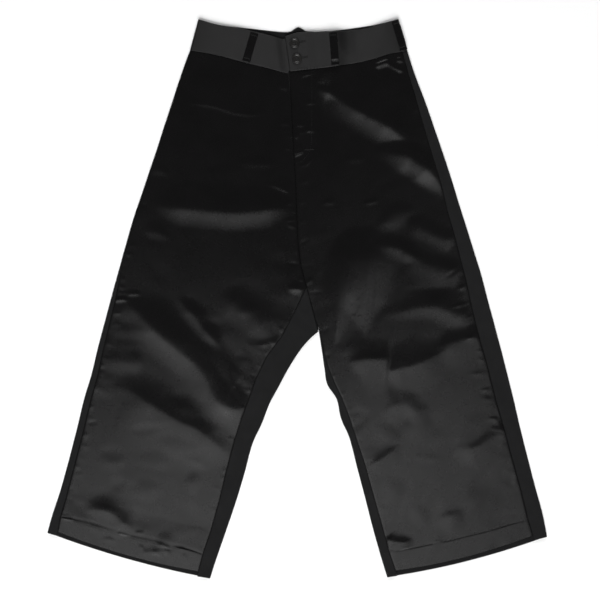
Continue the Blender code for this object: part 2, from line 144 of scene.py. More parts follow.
def table_of(kind: type, *rows: tuple) -> tuple:
    """Makes a table of one kind of thing from each one's values."""
    return tuple(kind(*row) for row in rows)


# How the garment lies


class Side(Enum):
    """A side of the wearer, as the sign of its x."""

    RIGHT = -1.0
    LEFT = 1.0


class Seam(Enum):
    """A seam that joins a front to its back."""

    OUTER = "outer"
    INNER = "inner"


class Edge(Enum):
    """An edge of the waistband."""

    LOWER = "lower"
    UPPER = "upper"


# Above the fork there is no inner fold.
NONE = math.nan


@dataclass(frozen=True)
class Section:
    """One section across a leg or half of the seat.

    outer is the outermost point of the side fold, strip the width of back cloth that shows beside it, seam
    the front panel's edge on the inner side, fold the outermost point of the inner leg, half is half of the
    laid thickness, and bow how far the section hangs below a straight line.
    """

    outer_x: float
    outer_y: float
    strip: float
    seam_x: float
    seam_y: float
    fold_x: float = NONE
    fold_y: float = NONE
    half: float = 2.2
    bow: float = 0.0


CURVED_FIELDS = ("outer_x", "outer_y", "fold_x", "fold_y")

# From the hem up
RIGHT_SIDE = table_of(
    Section,
    (-449, -420, 18, -179.5, -498, -156.5, -502, 3.2, 7.0),
    (-440, -388, 15, -169, -458, -146, -469, 3.2, 6.0),
    (-426, -345, 13, -154, -414, -129, -420, 2.2, 4.0),
    (-411, -291, 12, -139, -360, -111, -367, 2.2, 2.0),
    (-397, -237, 12, -126, -306, -95, -314),
    (-384, -183, 12, -112, -253, -81, -262),
    (-370, -136, 11, -100, -216, -64, -225),
    (-359, -90, 10, -87, -181, -50, -189),
    (-346, -41, 9, -74, -144, -35, -161),
    (-334, 4, 8, -55, -104, -15, -124),
    (-321, 51, 4, -28, -68, 5, -93),
    (-308, 98, 0, -3, -21, 22, -73),
    (-294, 146, 0, 16.3, 20, 38.5, -58.5),
    (-281, 184, 0, 6, 62),
    (-267, 226, 0, 1, 105),
    (-253, 267, 0, -1, 157),
    (-240, 308, 0, -3, 213),
    (-227, 347, 0, -7, 274, NONE, NONE, 2.3),
    (-215, 384, 0, -10, 335, NONE, NONE, 2.5),
    (-204, 416, 0, -12, 375, NONE, NONE, 2.8),
    (-193, 445, 0, -14, 404, NONE, NONE, 3.0),
)

LEFT_SIDE = table_of(
    Section,
    (449, -427, 24, 179.5, -497, 161.5, -500, 3.2, 7.7),
    (441, -387, 28, 165, -455, 149, -459, 3.2, 6.0),
    (428, -339, 26, 152, -407, 135.5, -411, 2.2, 4.0),
    (414, -285, 27, 137, -354, 122, -358, 2.2, 2.0),
    (400.5, -231, 28, 122, -300, 107.5, -303),
    (388, -177, 31, 105, -248, 94, -251),
    (379, -141, 31, 93, -212, 78.5, -215),
    (370, -105, 31, 80, -178, 71, -181),
    (361.5, -73, 32, 67, -151, 54, -154),
    (352, -37, 32, 56, -124, 49, -126),
    (342.5, -2, 31, 47.4, -96.9, 45, -98),
    (331, 42, 29, 40.4, -57.9, 38.8, -58.5),
    (318, 84, 27, 31.3, -32),
    (305, 126, 25, 23.7, -5),
    (291, 170, 24, 16.6, 20),
    (277, 216, 21, 6, 62),
    (261.5, 263, 20, 1, 105),
    (247, 305, 18, -1, 157),
    (235, 340, 16, -3, 213),
    (224, 370, 13, -7, 274, NONE, NONE, 2.3),
    (214, 396, 11, -10, 335, NONE, NONE, 2.5),
    (206, 419, 10, -12, 375, NONE, NONE, 2.8),
    (198, 444, 9, -14, 406, NONE, NONE, 3.0),
)

# The centre back seam runs straight from the fork up to the waistband.
CENTRE_BACK_FORK = np.array((38.65, -58.5))
CENTRE_BACK_WAIST = np.array((1.0, 418.0))

# The front's hem edge lies between the first two sections, and both hems are sewn at the second.
HEM_START = 0.22
HEM_SEAM = 1.0
# About how many millimetres lie between two sections there.
EDGE_SPAN = 36
SEAM_SPAN = 40
# Closer rows lie past the front's edge and on both sides of the stitches.
FINE_PLACES = (
    HEM_START,
    *(HEM_START + away / EDGE_SPAN for away in (0.5, 1.2, 2.4)),
    *(HEM_SEAM + away / SEAM_SPAN for away in (-3, -1.6, -0.7, 0.7, 1.6, 3)),
)


@dataclass(frozen=True)
class BandSection:
    """One place along a waistband, from the side fold on: a point of its lower and of its upper edge."""

    lower_x: float
    lower_y: float
    upper_x: float
    upper_y: float


BAND_RIGHT = table_of(
    BandSection,
    (-193, 446, -178, 502), (-147, 438, -147, 493), (-102, 426, -102, 485),
    (-57, 415, -61, 476), (-17, 405.2, -26, 466.5), (-14, 409.5, -23, 467), (14, 412.5, 7, 470),
)

BAND_LEFT = table_of(
    BandSection,
    (198, 445, 181, 502), (168, 440, 159, 496), (132, 429, 130, 487), (87, 420, 87, 481),
    (42, 414, 42, 479), (6, 410, 2, 478), (-13, 408, -22, 471),
)

BAND_BACK = table_of(
    BandSection,
    (-193, 446, -178, 502), (-147, 434, -149, 494), (-84, 423.2, -84, 486),
    (-30, 418.7, -28, 480), (-12, 418.1, -12, 481), (2, 418, 2, 488), (17, 418.2, 17, 481.5),
    (60, 420.6, 60, 482), (96, 424.8, 96, 486), (135, 431.4, 135, 492), (198, 445, 181, 502),
)

# Half of the laid waistband's thickness.
BAND_HALF = 3.6
# The right end passes under and the left end laps over: the height of each, and where it bends to it.
UNDERLAP_TOP = 5.9
UNDERLAP_BENDS = (-34.0, -17.0)
OVERLAP_TOP = 8.2
OVERLAP_BENDS = (44.0, 17.0)


def band_edge(table: Sequence[BandSection], edge: Edge, x: Array) -> Array:
    """The y of a waistband's edge at any x."""
    across, up = edge.value + "_x", edge.value + "_y"
    return curve_through([(getattr(row, across), getattr(row, up)) for row in table], x)


# Creases


def smooth_path(points: Sequence[Plan], steps: int = 5) -> Array:
    """Draws a smooth line through points.

    Args:
        points: The points.
        steps: How many parts each stretch is divided into.

    Returns:
        The points of the line.
    """
    known = np.array(points, float)
    if len(known) < 3:
        return known
    slopes = np.gradient(known, axis=0)
    shares = np.arange(steps)[:, None] / steps
    parts = [
        curve_value(known[k], known[k + 1], slopes[k], slopes[k + 1], shares) for k in range(len(known) - 1)
    ]
    return np.concatenate((*parts, known[-1:]))


@dataclass(frozen=True)
class Crease:
    """A crest, or with a height below 0 a trough, along a path over the laid garment.

    left_run and right_run are its slopes' widths to the left and right of its way: towards the waist and the
    hem where it runs from the wearer's right to the left. It rises and dies away over the shares fade_in and
    fade_out of its path. crown is the rounded share of a slope: 0.1 is a sharp line and 1 a soft swell. With
    a hollow of 1 the slopes are straight, and with 2 they flatten towards their foot.
    """

    path: tuple[Plan, ...]
    height: float
    left_run: float
    right_run: float
    fade_in: float = 0.4
    fade_out: float = 0.4
    crown: float = 0.2
    hollow: float = 2.0

    # A crease's width at its ends, and what it gains by its middle.
    END_WIDTH = 0.45
    MORE_WIDTH = 0.55

    def lift(self, x: Array, y: Array) -> Array:
        """Gives how high the crease raises the cloth.

        Args:
            x: Places on the cloth.
            y: The same places' y.

        Returns:
            The heights.
        """
        line = smooth_path(self.path)
        ways = np.diff(line, axis=0)
        lengths = np.linalg.norm(ways, axis=1)
        before = lengths_before(lengths)
        nearest = np.full(x.shape, np.inf)
        along = np.zeros(x.shape)
        aside = np.zeros(x.shape)
        for start, way, length, passed in zip(line, ways, lengths, before):
            off_x, off_y = x - start[0], y - start[1]
            share = np.clip((off_x * way[0] + off_y * way[1]) / length**2, 0.0, 1.0)
            distance = np.hypot(off_x - share * way[0], off_y - share * way[1])
            closer = distance < nearest
            nearest = np.where(closer, distance, nearest)
            along = np.where(closer, passed + share * length, along)
            aside = np.where(closer, off_y * way[0] - off_x * way[1], aside)
        share = along / before[-1]
        taper = smooth_step(share / self.fade_in) * smooth_step((1 - share) / self.fade_out)
        run = np.where(aside > 0, self.left_run, self.right_run) * (self.END_WIDTH + self.MORE_WIDTH * taper)
        away = np.hypot(np.minimum(1.0, nearest / run), self.crown) / math.hypot(1.0, self.crown)
        top = 1 - self.crown / math.hypot(1.0, self.crown)
        return self.height * taper * ((1 - away) / top) ** self.hollow

    def reach(self) -> tuple[float, float, float, float]:
        """Gives the box that the crease touches.

        Returns:
            Its lowest and highest x, and its lowest and highest y.
        """
        wide = max(self.left_run, self.right_run)
        xs, ys = np.array(self.path, float).T
        return xs.min() - wide, xs.max() + wide, ys.min() - wide, ys.max() + wide


CREASES = table_of(
    Crease,
    # The wearer's right leg
    (((-259, 166), (-219, 164), (-189, 162), (-153, 159), (-111, 157), (-75, 159), (-43, 164), (0, 164)),
       3.8, 50, 37, 0.22, 0.22, 0.2, 1.6),
    (((-320, 2), (-304, -9), (-286, -25), (-264, -48), (-243, -68), (-210, -95), (-183, -117),
       (-167, -140), (-154, -167), (-136, -190), (-108, -199), (-63, -199)), 4.8, 74, 44, 0.25, 0.25, 0.14),
    (((-351, -158), (-329, -158), (-300, -167), (-270, -187), (-237, -208), (-210, -223), (-183, -235),
       (-156, -255), (-135, -273), (-113, -293)), 4.1, 58, 96, 0.36, 0.25, 0.1),
    (((-217, 6), (-196, -19), (-176, -43), (-154, -68), (-135, -93)), 1.9, 26, 22, 0.3, 0.35, 0.3),
    (((-136, 11), (-118, -3), (-100, -16), (-81, -32), (-64, -50), (-46, -77)), 1.5, 50, 42, 0.25, 0.35,
       0.45),
    (((-390, -378), (-369, -379), (-347, -381), (-329, -390), (-311, -405), (-289, -423)), 3.4, 38, 34,
       0.45, 0.3, 0.12, 1.8),
    (((-214, 353), (-183, 351), (-147, 346), (-102, 333), (-39, 332)), 0.9, 14, 9, 0.3, 0.3, 0.2),
    (((-111, 243), (-75, 243), (-30, 242)), 0.7, 14, 14, 0.4, 0.4, 0.4),
    (((-63, 206), (-37, 202), (-10, 189)), 1.1, 12, 9, 0.5, 0.3, 0.15),
    (((-19, 17), (-3, 18), (13, 17)), 1.6, 16, 14, 0.4, 0.2, 0.15),
    (((-77, -84), (-55, -82), (-32, -77)), 0.7, 14, 10, 0.5, 0.2, 0.2),
    (((-329, -3), (-316, -1), (-300, -3)), 1.1, 7, 7, 0.1, 0.4, 0.2),
    (((-309, 8), (-297, 9), (-280, 9)), 1, 7, 7, 0.3, 0.4, 0.2),
    (((-271, 227), (-250, 231), (-225, 220)), 0.7, 16, 14, 0.3, 0.5, 0.3),
    (((-279, 119), (-255, 121), (-225, 105)), 0.8, 20, 18, 0.3, 0.5, 0.4),
    # The wearer's left leg
    (((11, 395), (35, 384), (60, 375), (80, 360), (101, 346), (132, 329), (157, 316), (180, 299),
       (229, 254)), 7.2, 46, 45, 0.2, 0.38, 0.15, 1.6),
    (((134, 267), (159, 266), (184, 262), (207, 254), (225, 242), (240, 228), (254, 209), (272, 180)),
       5.9, 27, 39, 0.4, 0.4, 0.22, 1.5),
    (((114, 170), (132, 173), (152, 177)), 0.6, 8, 6, 0.4, 0.4, 0.2),
    (((42, 171), (56, 173), (71, 171)), 0.5, 8, 7, 0.4, 0.4, 0.3),
    (((137, 125), (164, 143), (186, 155), (218, 159)), 1.25, 24, 30, 0.4, 0.4, 0.45),
    (((195, 146), (227, 126), (258, 112), (288, 105)), 1.35, 24, 28, 0.3, 0.15, 0.4),
    (((135, 98), (164, 96), (193, 87), (229, 67)), 1.8, 24, 28, 0.3, 0.4, 0.25),
    (((182, 80), (222, 65), (258, 56), (301, 45)), 1.25, 26, 40, 0.35, 0.15, 0.35),
    (((186, 13), (222, 17), (261, 18), (306, 20)), -0.4, 28, 24, 0.3, 0.15, 0.06),
    (((135, -34), (179, -25), (215, -16), (247, -14), (272, -21), (292, -30), (315, -25)), 1.6, 38, 34,
       0.8, 0.12, 0.3),
    (((45, 54), (116, 65), (186, 58)), 5.2, 66, 136, 0.45, 0.45, 0.6, 1.5),
    (((89, -117), (105, -111), (125, -108), (146, -108), (168, -109)), 2.2, 40, 70, 0.45, 0.1, 0.1),
    (((150, -133), (171, -129), (195, -124), (222, -115), (251, -102), (283, -86)), 2.6, 52, 60, 0.25,
       0.5, 0.09),
    (((240, -91), (276, -82), (305, -72), (333, -61)), 1.8, 32, 62, 0.45, 0.15, 0.25),
    (((150, -210), (175, -203), (200, -190), (222, -172)), 1.25, 40, 46, 0.4, 0.4, 0.3),
    (((279, -286), (305, -273), (330, -264), (348, -253), (377, -235)), 2.3, 46, 46, 0.35, 0.06, 0.2),
    (((125, -304), (150, -291), (170, -277), (189, -261)), 1, 20, 30, 0.3, 0.4, 0.15),
    (((233, -405), (261, -396), (290, -383), (319, -367), (359, -345)), 1.4, 50, 50, 0.35, 0.4, 0.35),
    (((157, -430), (175, -437), (193, -439), (213, -432)), 1.9, 20, 16, 0.2, 0.4, 0.15),
    # Under the waistband
    (((135, 420), (152, 424), (170, 427)), 2.3, 8, 11, 0.3, 0.3, 0.25, 1.4),
    (((173, 425), (186, 429), (200, 425)), 2, 7, 9, 0.3, 0.25, 0.25, 1.4),
    (((159, 424), (173, 417), (195, 405)), 1.7, 8, 8, 0.25, 0.35, 0.25, 1.5),
    (((-1, 396), (18, 404), (45, 412)), 1.45, 6, 6.5, 0.3, 0.3, 0.2, 1.5),
    # Beside the fly
    (((9, 351), (22, 352), (36, 351)), 1, 6, 6, 0.4, 0.4, 0.4),
    (((-7, 312), (2, 313), (15, 310)), 1.1, 6, 6.5, 0.4, 0.4, 0.4),
    (((11, 301), (22, 303), (35, 299)), 1.1, 6, 6.5, 0.4, 0.4, 0.4),
    (((-37, 378), (-27, 380), (-14, 377)), 0.9, 9, 7, 0.4, 0.2, 0.3),
    (((-36, 312), (-23, 315), (-10, 314)), 0.7, 8, 7, 0.4, 0.2, 0.3),
    # The hems
    (((-426, -391), (-390, -397), (-354, -406), (-327, -415), (-300, -423), (-264, -431), (-228, -440),
       (-192, -450), (-167, -459)), -0.5, 3, 4, 0.02, 0.02, 0.1),
    (((150, -460), (186, -452), (231, -442), (276, -433), (312, -424), (348, -415), (384, -404),
       (418, -396)), -0.5, 3, 4, 0.02, 0.02, 0.1),
    (((-424, -393), (-414, -395), (-401, -397)), 0.8, 6, 5, 0.2, 0.3, 0.1),
    (((-324, -421), (-313, -423), (-300, -426)), 0.9, 7, 5, 0.3, 0.3, 0.1),
    (((-293, -421), (-284, -421), (-273, -423)), 0.8, 6, 5, 0.3, 0.3, 0.1),
    (((-253, -441), (-239, -444), (-225, -448)), 0.9, 8, 6, 0.3, 0.3, 0.1),
    (((-214, -448), (-205, -450), (-196, -453)), 0.5, 5, 5, 0.3, 0.3, 0.1),
    (((-257, -441), (-235, -437), (-214, -442)), 1, 22, 12, 0.4, 0.4, 0.4),
    (((153, -458), (168, -456), (186, -453)), 0.6, 5, 5, 0.2, 0.4, 0.1),
    (((242, -439), (252, -437), (263, -435)), 0.5, 5, 5, 0.3, 0.3, 0.1),
    # The fly's edge and curve
    (((81, 249), (96, 252), (125, 251)), 0.5, 12, 14, 0.4, 0.4, 0.5),
    (((-9, 405), (-8, 375), (-6, 335), (-3, 274), (0, 236)), 0.6, 22, 3.2, 0.02, 0.2, 0.1),
    (((-7, 247), (4, 240), (17, 242), (29, 256)), 0.8, 3.5, 3.5, 0.2, 0.3, 0.2),
    (((-5, 252), (4, 247), (15, 249)), 0.7, 3.5, 3.5, 0.2, 0.3, 0.2),
    (((-10, 254), (0, 260), (15, 265)), 1.2, 6, 5, 0.2, 0.4, 0.2),
    (((-18, 290), (-10, 292), (6, 290)), 0.9, 6, 6, 0.4, 0.4, 0.4),
    # Crumples in the hems, and the softest swells
    (((-286, -459), (-250, -455), (-214, -457)), 1, 16, 10, 0.4, 0.4, 0.3),
    (((22, 391), (38, 380), (58, 368), (81, 353)), 0.5, 12, 13, 0.4, 0.45, 0.3, 1.5),
    (((-286, -441), (-277, -450), (-270, -464)), 0.7, 6, 6, 0.3, 0.3, 0.3),
    (((-239, -448), (-230, -459), (-225, -471)), 0.8, 6, 6, 0.3, 0.3, 0.3),
    (((-207, -457), (-201, -466), (-198, -477)), 0.7, 6, 6, 0.3, 0.3, 0.3),
    (((-262, -453), (-252, -457), (-241, -464)), 0.6, 7, 6, 0.3, 0.3, 0.3),
    (((-352, -433), (-338, -433), (-322, -439)), 0.55, 8, 6, 0.4, 0.4, 0.3),
    (((193, 260), (215, 249), (234, 233), (254, 207)), 0.8, 30, 40, 0.5, 0.5, 0.4, 1.6),
    (((-165, -169), (-109, -190), (-52, -187)), 1.7, 110, 74, 0.4, 0.3, 0.5, 1.5),
    (((38, -5), (74, -1), (110, -9)), 2, 70, 112, 0.5, 0.5, 0.6, 1.4),
)

# The creases of the hidden side, over the same plan
BACK_CREASES = table_of(
    Crease,
    (((-170, 300), (-120, 318), (-70, 345)), 1.6, 26, 30, 0.4, 0.4, 0.3),
    (((50, 352), (110, 322), (165, 305)), 1.8, 28, 30, 0.4, 0.3, 0.3),
    (((-205, 250), (-150, 238), (-90, 244), (-40, 258)), 2.3, 34, 40, 0.3, 0.4, 0.2),
    (((30, 236), (90, 226), (150, 238), (205, 262)), 2.0, 30, 44, 0.4, 0.3, 0.25),
    (((-250, 120), (-200, 96), (-140, 84), (-80, 92)), 2.5, 40, 46, 0.3, 0.4, 0.2),
    (((70, 60), (130, 76), (190, 70), (250, 46)), 2.2, 40, 44, 0.4, 0.3, 0.3),
    (((-300, -20), (-240, -52), (-180, -92), (-130, -150)), 2.6, 44, 50, 0.25, 0.3, 0.15),
    (((-280, -120), (-235, -150), (-190, -166)), 1.7, 26, 34, 0.4, 0.4, 0.2),
    (((190, -40), (240, -30), (290, -44)), 1.7, 30, 34, 0.4, 0.3, 0.3),
    (((120, -110), (180, -96), (240, -102), (300, -84)), 2.5, 46, 50, 0.3, 0.3, 0.15),
    (((-330, -270), (-290, -290), (-240, -296)), 1.8, 34, 40, 0.4, 0.4, 0.3),
    (((230, -262), (290, -240), (345, -246)), 1.9, 36, 42, 0.4, 0.3, 0.3),
    (((-350, -362), (-320, -372), (-290, -388)), 2.0, 30, 26, 0.4, 0.3, 0.2),
    (((320, -365), (355, -377), (390, -369)), 1.7, 28, 24, 0.3, 0.4, 0.2),
)


@dataclass(frozen=True)
class PuckerRow:
    """Small puckers that stand off a seam, uneven in place, length and height.

    line is the seam, inward the side of it on which they lie: 1 for the left of its way and -1 for the right.
    """

    line: tuple[Plan, ...]
    inward: float
    spacing: float
    length: float
    height: float
    seed: int

    # From and to: the turn off the seam in degrees, and a slope's width.
    TURNS = (64, 116)
    RUNS = (4.0, 7.5)
    # From and to, as shares of the spacing, length, height and first slope.
    FIRST_SPACES = (0.3, 1.0)
    SPACES = (0.45, 1.7)
    LENGTHS = (0.5, 1.6)
    HEIGHTS = (0.4, 1.3)
    OTHER_RUNS = (0.8, 1.5)
    # One pucker in three is a hollow.
    SIGNS = (1.0, 1.0, -0.7)
    PAST_SEAM = 2.0

    def creases(self) -> list[Crease]:
        """Places the puckers along the line.

        Returns:
            The puckers.
        """
        rng = random.Random(self.seed)
        found = []
        points = np.array(self.line, float)
        steps = np.linalg.norm(np.diff(points, axis=0), axis=1)
        ends = lengths_before(steps)
        place = self.spacing * rng.uniform(*self.FIRST_SPACES)
        while place < ends[-1]:
            k = int(np.searchsorted(ends, place)) - 1
            way = (points[k + 1] - points[k]) / steps[k]
            start = points[k] + way * (place - ends[k])
            turn = math.radians(rng.uniform(*self.TURNS)) * self.inward
            into = np.array((
                way[0] * math.cos(turn) - way[1] * math.sin(turn),
                way[0] * math.sin(turn) + way[1] * math.cos(turn),
            ))
            length = self.length * rng.uniform(*self.LENGTHS)
            path = sorted((tuple(start - into * self.PAST_SEAM), tuple(start + into * length)))
            height = self.height * rng.uniform(*self.HEIGHTS) * rng.choice(self.SIGNS)
            run = rng.uniform(*self.RUNS)
            other_run = run * rng.uniform(*self.OTHER_RUNS)
            found.append(Crease(tuple(path), height, run, other_run, 0.5, 0.5, 0.3))
            place += self.spacing * rng.uniform(*self.SPACES)
        return found


@dataclass(frozen=True)
class Ripples:
    """Slight soft unevenness of laid cloth inside a box: low and high x and y."""

    box: tuple[float, float, float, float]
    count: int
    height: float
    lean: float
    seed: int

    # From and to: the turn off the lean, half of the length, and a slope's width.
    TURNS = (-38, 38)
    HALVES = (18, 65)
    RUNS = (12, 34)
    # From and to, as shares of the height and first slope.
    HEIGHTS = (0.35, 1.2)
    OTHER_RUNS = (0.8, 1.3)
    FULL_RUN = 24

    def creases(self) -> list[Crease]:
        """Scatters the ripples.

        Returns:
            The ripples.
        """
        rng = random.Random(self.seed)
        found = []
        for _ in range(self.count):
            x = rng.uniform(self.box[0], self.box[1])
            y = rng.uniform(self.box[2], self.box[3])
            turn = math.radians(self.lean + rng.uniform(*self.TURNS))
            half = rng.uniform(*self.HALVES)
            off = (half * math.cos(turn), half * math.sin(turn))
            run = rng.uniform(*self.RUNS)
            height = self.height * rng.uniform(*self.HEIGHTS) * rng.choice((1.0, -1.0)) * run / self.FULL_RUN
            path = sorted(((x - off[0], y - off[1]), (x + off[0], y + off[1])))
            other_run = run * rng.uniform(*self.OTHER_RUNS)
            found.append(Crease(tuple(path), height, run, other_run, 0.5, 0.5, 0.8))
        return found


class Lie:
    """How high the laid cloth stands above its smooth lie at any place."""

    EDGE_EASE = 16.0
    BAND_EASE = 14.0
    FINE_EASE = 5.0
    FINE_HEIGHT = 1.45
    LEFT_AT_EDGE = 0.15

    def __init__(self, creases: Sequence[Crease]) -> None:
        """Takes the creases; the low ones reach nearer to the folded edge."""
        self.large = tuple(crease for crease in creases if crease.height > self.FINE_HEIGHT)
        self.fine = tuple(crease for crease in creases if crease.height <= self.FINE_HEIGHT)

    @staticmethod
    def gather(creases: Sequence[Crease], x: Array, y: Array) -> Array:
        """Adds up the heights of several creases.

        Args:
            creases: The creases.
            x: Places on the cloth.
            y: The same places' y.

        Returns:
            The heights.
        """
        height = np.zeros_like(x)
        for crease in creases:
            left, right, low, high = crease.reach()
            near = (x > left) & (x < right) & (y > low) & (y < high)
            if near.any():
                height[near] += crease.lift(x[near], y[near])
        return height

    def height(self, x: Array, y: Array, clear: Array, to_band: Array) -> Array:
        """Gives the height above the smooth lie.

        Args:
            x: Places on the cloth.
            y: The same places' y.
            clear: How far each is from the nearest edge.
            to_band: How far each is below the waistband.

        Returns:
            The heights.
        """
        large = self.gather(self.large, x, y) * smooth_step(clear / self.EDGE_EASE)
        fine = self.gather(self.fine, x, y) * smooth_step(clear / self.FINE_EASE)
        large *= smooth_step(to_band / self.BAND_EASE + self.LEFT_AT_EDGE)
        return large + fine * smooth_step(to_band / self.FINE_EASE + self.LEFT_AT_EDGE)


def seam_line(table: Sequence[Section], seam: Seam, start: int, end: int) -> tuple[Plan, ...]:
    """Reads a seam's points off the sections.

    Args:
        table: One side's sections.
        seam: Which seam.
        start: The first section.
        end: The section past the last.

    Returns:
        The seam's points.
    """
    found = []
    for row in table[start:end]:
        if seam is Seam.INNER:
            found.append((row.seam_x, row.seam_y))
            continue
        way = unit(np.array((row.seam_x - row.outer_x, row.seam_y - row.outer_y)))
        found.append((row.outer_x + way[0] * row.strip, row.outer_y + way[1] * row.strip))
    return tuple(found)


PUCKER_ROWS = (
    PuckerRow(seam_line(RIGHT_SIDE, Seam.OUTER, 1, 12), -1.0, 17.0, 17.0, 0.4, 3),
    PuckerRow(seam_line(RIGHT_SIDE, Seam.OUTER, 12, 19), -1.0, 40.0, 14.0, 0.4, 5),
    PuckerRow(seam_line(RIGHT_SIDE, Seam.INNER, 1, 12), 1.0, 22.0, 15.0, 0.4, 7),
    PuckerRow(seam_line(RIGHT_SIDE, Seam.INNER, 12, 20), 1.0, 24.0, 18.0, 0.55, 9),
    PuckerRow(seam_line(LEFT_SIDE, Seam.OUTER, 1, 13), 1.0, 20.0, 28.0, 0.5, 11),
    PuckerRow(seam_line(LEFT_SIDE, Seam.OUTER, 13, 21), 1.0, 30.0, 15.0, 0.24, 19),
    PuckerRow(seam_line(LEFT_SIDE, Seam.INNER, 1, 13), -1.0, 30.0, 16.0, 0.35, 13),
    PuckerRow(seam_line(LEFT_SIDE, Seam.INNER, 13, 22), -1.0, 26.0, 20.0, 0.5, 17),
)
FRONT_RIPPLES = (
    Ripples((-400, 0, -480, 60), 80, 0.5, -26.0, 21),
    Ripples((40, 430, -480, -160), 56, 0.6, 32.0, 22),
    Ripples((40, 430, -160, 60), 26, 0.28, 32.0, 24),
    Ripples((-300, 300, 60, 400), 90, 0.22, 0.0, 23),
)
BACK_RIPPLES = (
    Ripples((-420, 420, -480, -60), 150, 1.0, 0.0, 31),
    Ripples((-300, 300, -60, 400), 110, 0.9, 20.0, 32),
)


# Meshes


def add_object(name: str, data: bpy.types.ID) -> Piece:
    """Puts an object in the scene.

    Args:
        name: Its name.
        data: Its mesh, light or camera.

    Returns:
        The object.
    """
    made = bpy.data.objects.new(name, data)
    bpy.context.scene.collection.objects.link(made)
    return made


def new_piece(name: str, points: Array, faces: Sequence[Sequence[int]]) -> Piece:
    """Makes a smooth mesh and puts it in the scene.

    Args:
        name: The piece's name.
        points: Its points, in millimetres.
        faces: Its faces.

    Returns:
        The piece.
    """
    mesh = bpy.data.meshes.new(name)
    mesh.from_pydata((points * MM).tolist(), [], faces)
    mesh.shade_smooth()
    return add_object(name, mesh)


def mesh_from_rows(name: str, rows: Sequence[Array], uvs: Sequence[Array], flip: bool) -> Piece:
    """Makes a surface through rows of points.

    Neighbouring rows are joined over the columns that both have.

    Args:
        name: The piece's name.
        rows: Each row's points, in millimetres.
        uvs: Each row's places across and along the weave, in metres.
        flip: Whether the faces turn the other way round.

    Returns:
        The new piece.
    """
    starts = np.concatenate(([0], np.cumsum([len(row) for row in rows])))
    faces = []
    for k in range(len(rows) - 1):
        count = min(len(rows[k]), len(rows[k + 1])) - 1
        low = starts[k] + np.arange(count)
        high = starts[k + 1] + np.arange(count)
        quads = np.stack((low, low + 1, high + 1, high), axis=1)
        faces.append(quads[:, ::-1] if flip else quads)
    quads = np.concatenate(faces)
    piece = new_piece(name, np.concatenate(rows), quads.tolist())
    corners = np.concatenate(uvs)[quads.reshape(-1)]
    piece.data.uv_layers.new(name="Weave").data.foreach_set("uv", corners.astype(np.float32).reshape(-1))
    return piece


def joined_mesh(name: str, parts: Sequence[Shape]) -> Piece:
    """Makes one piece from many small shapes.

    Args:
        name: The piece's name.
        parts: The shapes.

    Returns:
        The new piece.
    """
    faces, count = [], 0
    for points, part_faces in parts:
        faces.extend(tuple(count + corner for corner in face) for face in part_faces)
        count += len(points)
    return new_piece(name, np.concatenate([points for points, _ in parts]), faces)


def ring_faces(rings: int, sides: int, first: int = 0) -> list[tuple[int, ...]]:
    """Joins each ring of points to the next.

    Args:
        rings: How many rings there are.
        sides: How many points each has.
        first: The number of the first ring's first point.

    Returns:
        The faces between the rings.
    """
    found = []
    for start in range(first, first + (rings - 1) * sides, sides):
        for side in range(sides):
            low, after = start + side, start + (side + 1) % sides
            found.append((low, after, after + sides, low + sides))
    return found


def thicken(piece: Piece, wall: float) -> None:
    """Gives a surface its cloth's thickness towards its inside; the inside wears the second material.

    Args:
        piece: The surface.
        wall: The thickness, in millimetres.
    """
    solid = piece.modifiers.new("cloth", "SOLIDIFY")
    solid.thickness = wall * MM
    solid.offset = -1.0
    solid.material_offset = 1


# Finishes


class Nodes:
    """Adds and links the nodes of one tree."""

    def __init__(self, tree: Tree) -> None:
        """Takes the tree of a material or a group."""
        self.tree = tree

    def add(self, kind: str, **values: object) -> Node:
        """Adds a node.

        Args:
            kind: The node's type.
            values: Its settings and inputs, with _ for a space.

        Returns:
            The node.
        """
        node = self.tree.nodes.new(kind)
        for name, value in values.items():
            socket = node.inputs.get(name.replace("_", " "))
            if socket is not None:
                socket.default_value = value
            else:
                setattr(node, name, value)
        return node

    def group(self, tree: Tree, place: Socket, **values: float) -> Node:
        """Places a group with its own values.

        Args:
            tree: The group.
            place: Where on the piece it is read.
            values: Its inputs, with _ for a space.

        Returns:
            The group's node.
        """
        node = self.add("ShaderNodeGroup", node_tree=tree, **values)
        self.link(place, node.inputs["Place"])
        return node

    def maths(self, operation: str, first: object, second: object = 0.5) -> Socket:
        """Works out one number.

        Args:
            operation: What is done.
            first: A socket or a plain number.
            second: Another, where the operation takes two.

        Returns:
            The socket that holds the result.
        """
        node = self.add("ShaderNodeMath", operation=operation)
        for socket, value in zip(node.inputs, (first, second)):
            if isinstance(value, (int, float)):
                socket.default_value = value
            else:
                self.link(value, socket)
        return node.outputs[0]

    def link(self, source: Socket, target: Socket) -> None:
        """Joins an output to an input."""
        self.tree.links.new(source, target)


def new_group(
    name: str, numbers: Sequence[str], result: str
) -> tuple[Nodes, Node, Socket]:
    """Makes a shader node group that takes a place and some numbers and puts out a number.

    Args:
        name: The group's name.
        numbers: The names of the numbers that it takes.
        result: The name of the number that it puts out.

    Returns:
        A builder for its nodes, the node with its inputs, and the socket for its result.
    """
    group = bpy.data.node_groups.new(name, "ShaderNodeTree")
    group.interface.new_socket(name="Place", in_out="INPUT", socket_type="NodeSocketVector")
    for title in numbers:
        group.interface.new_socket(name=title, in_out="INPUT", socket_type="NodeSocketFloat")
    group.interface.new_socket(name=result, in_out="OUTPUT", socket_type="NodeSocketFloat")
    nodes = Nodes(group)
    return nodes, nodes.add("NodeGroupInput"), nodes.add("NodeGroupOutput").inputs[result]


WEFT_SLIP = 2.4
WARP_SHARE = 0.35
WEFT_SHARE = 0.65


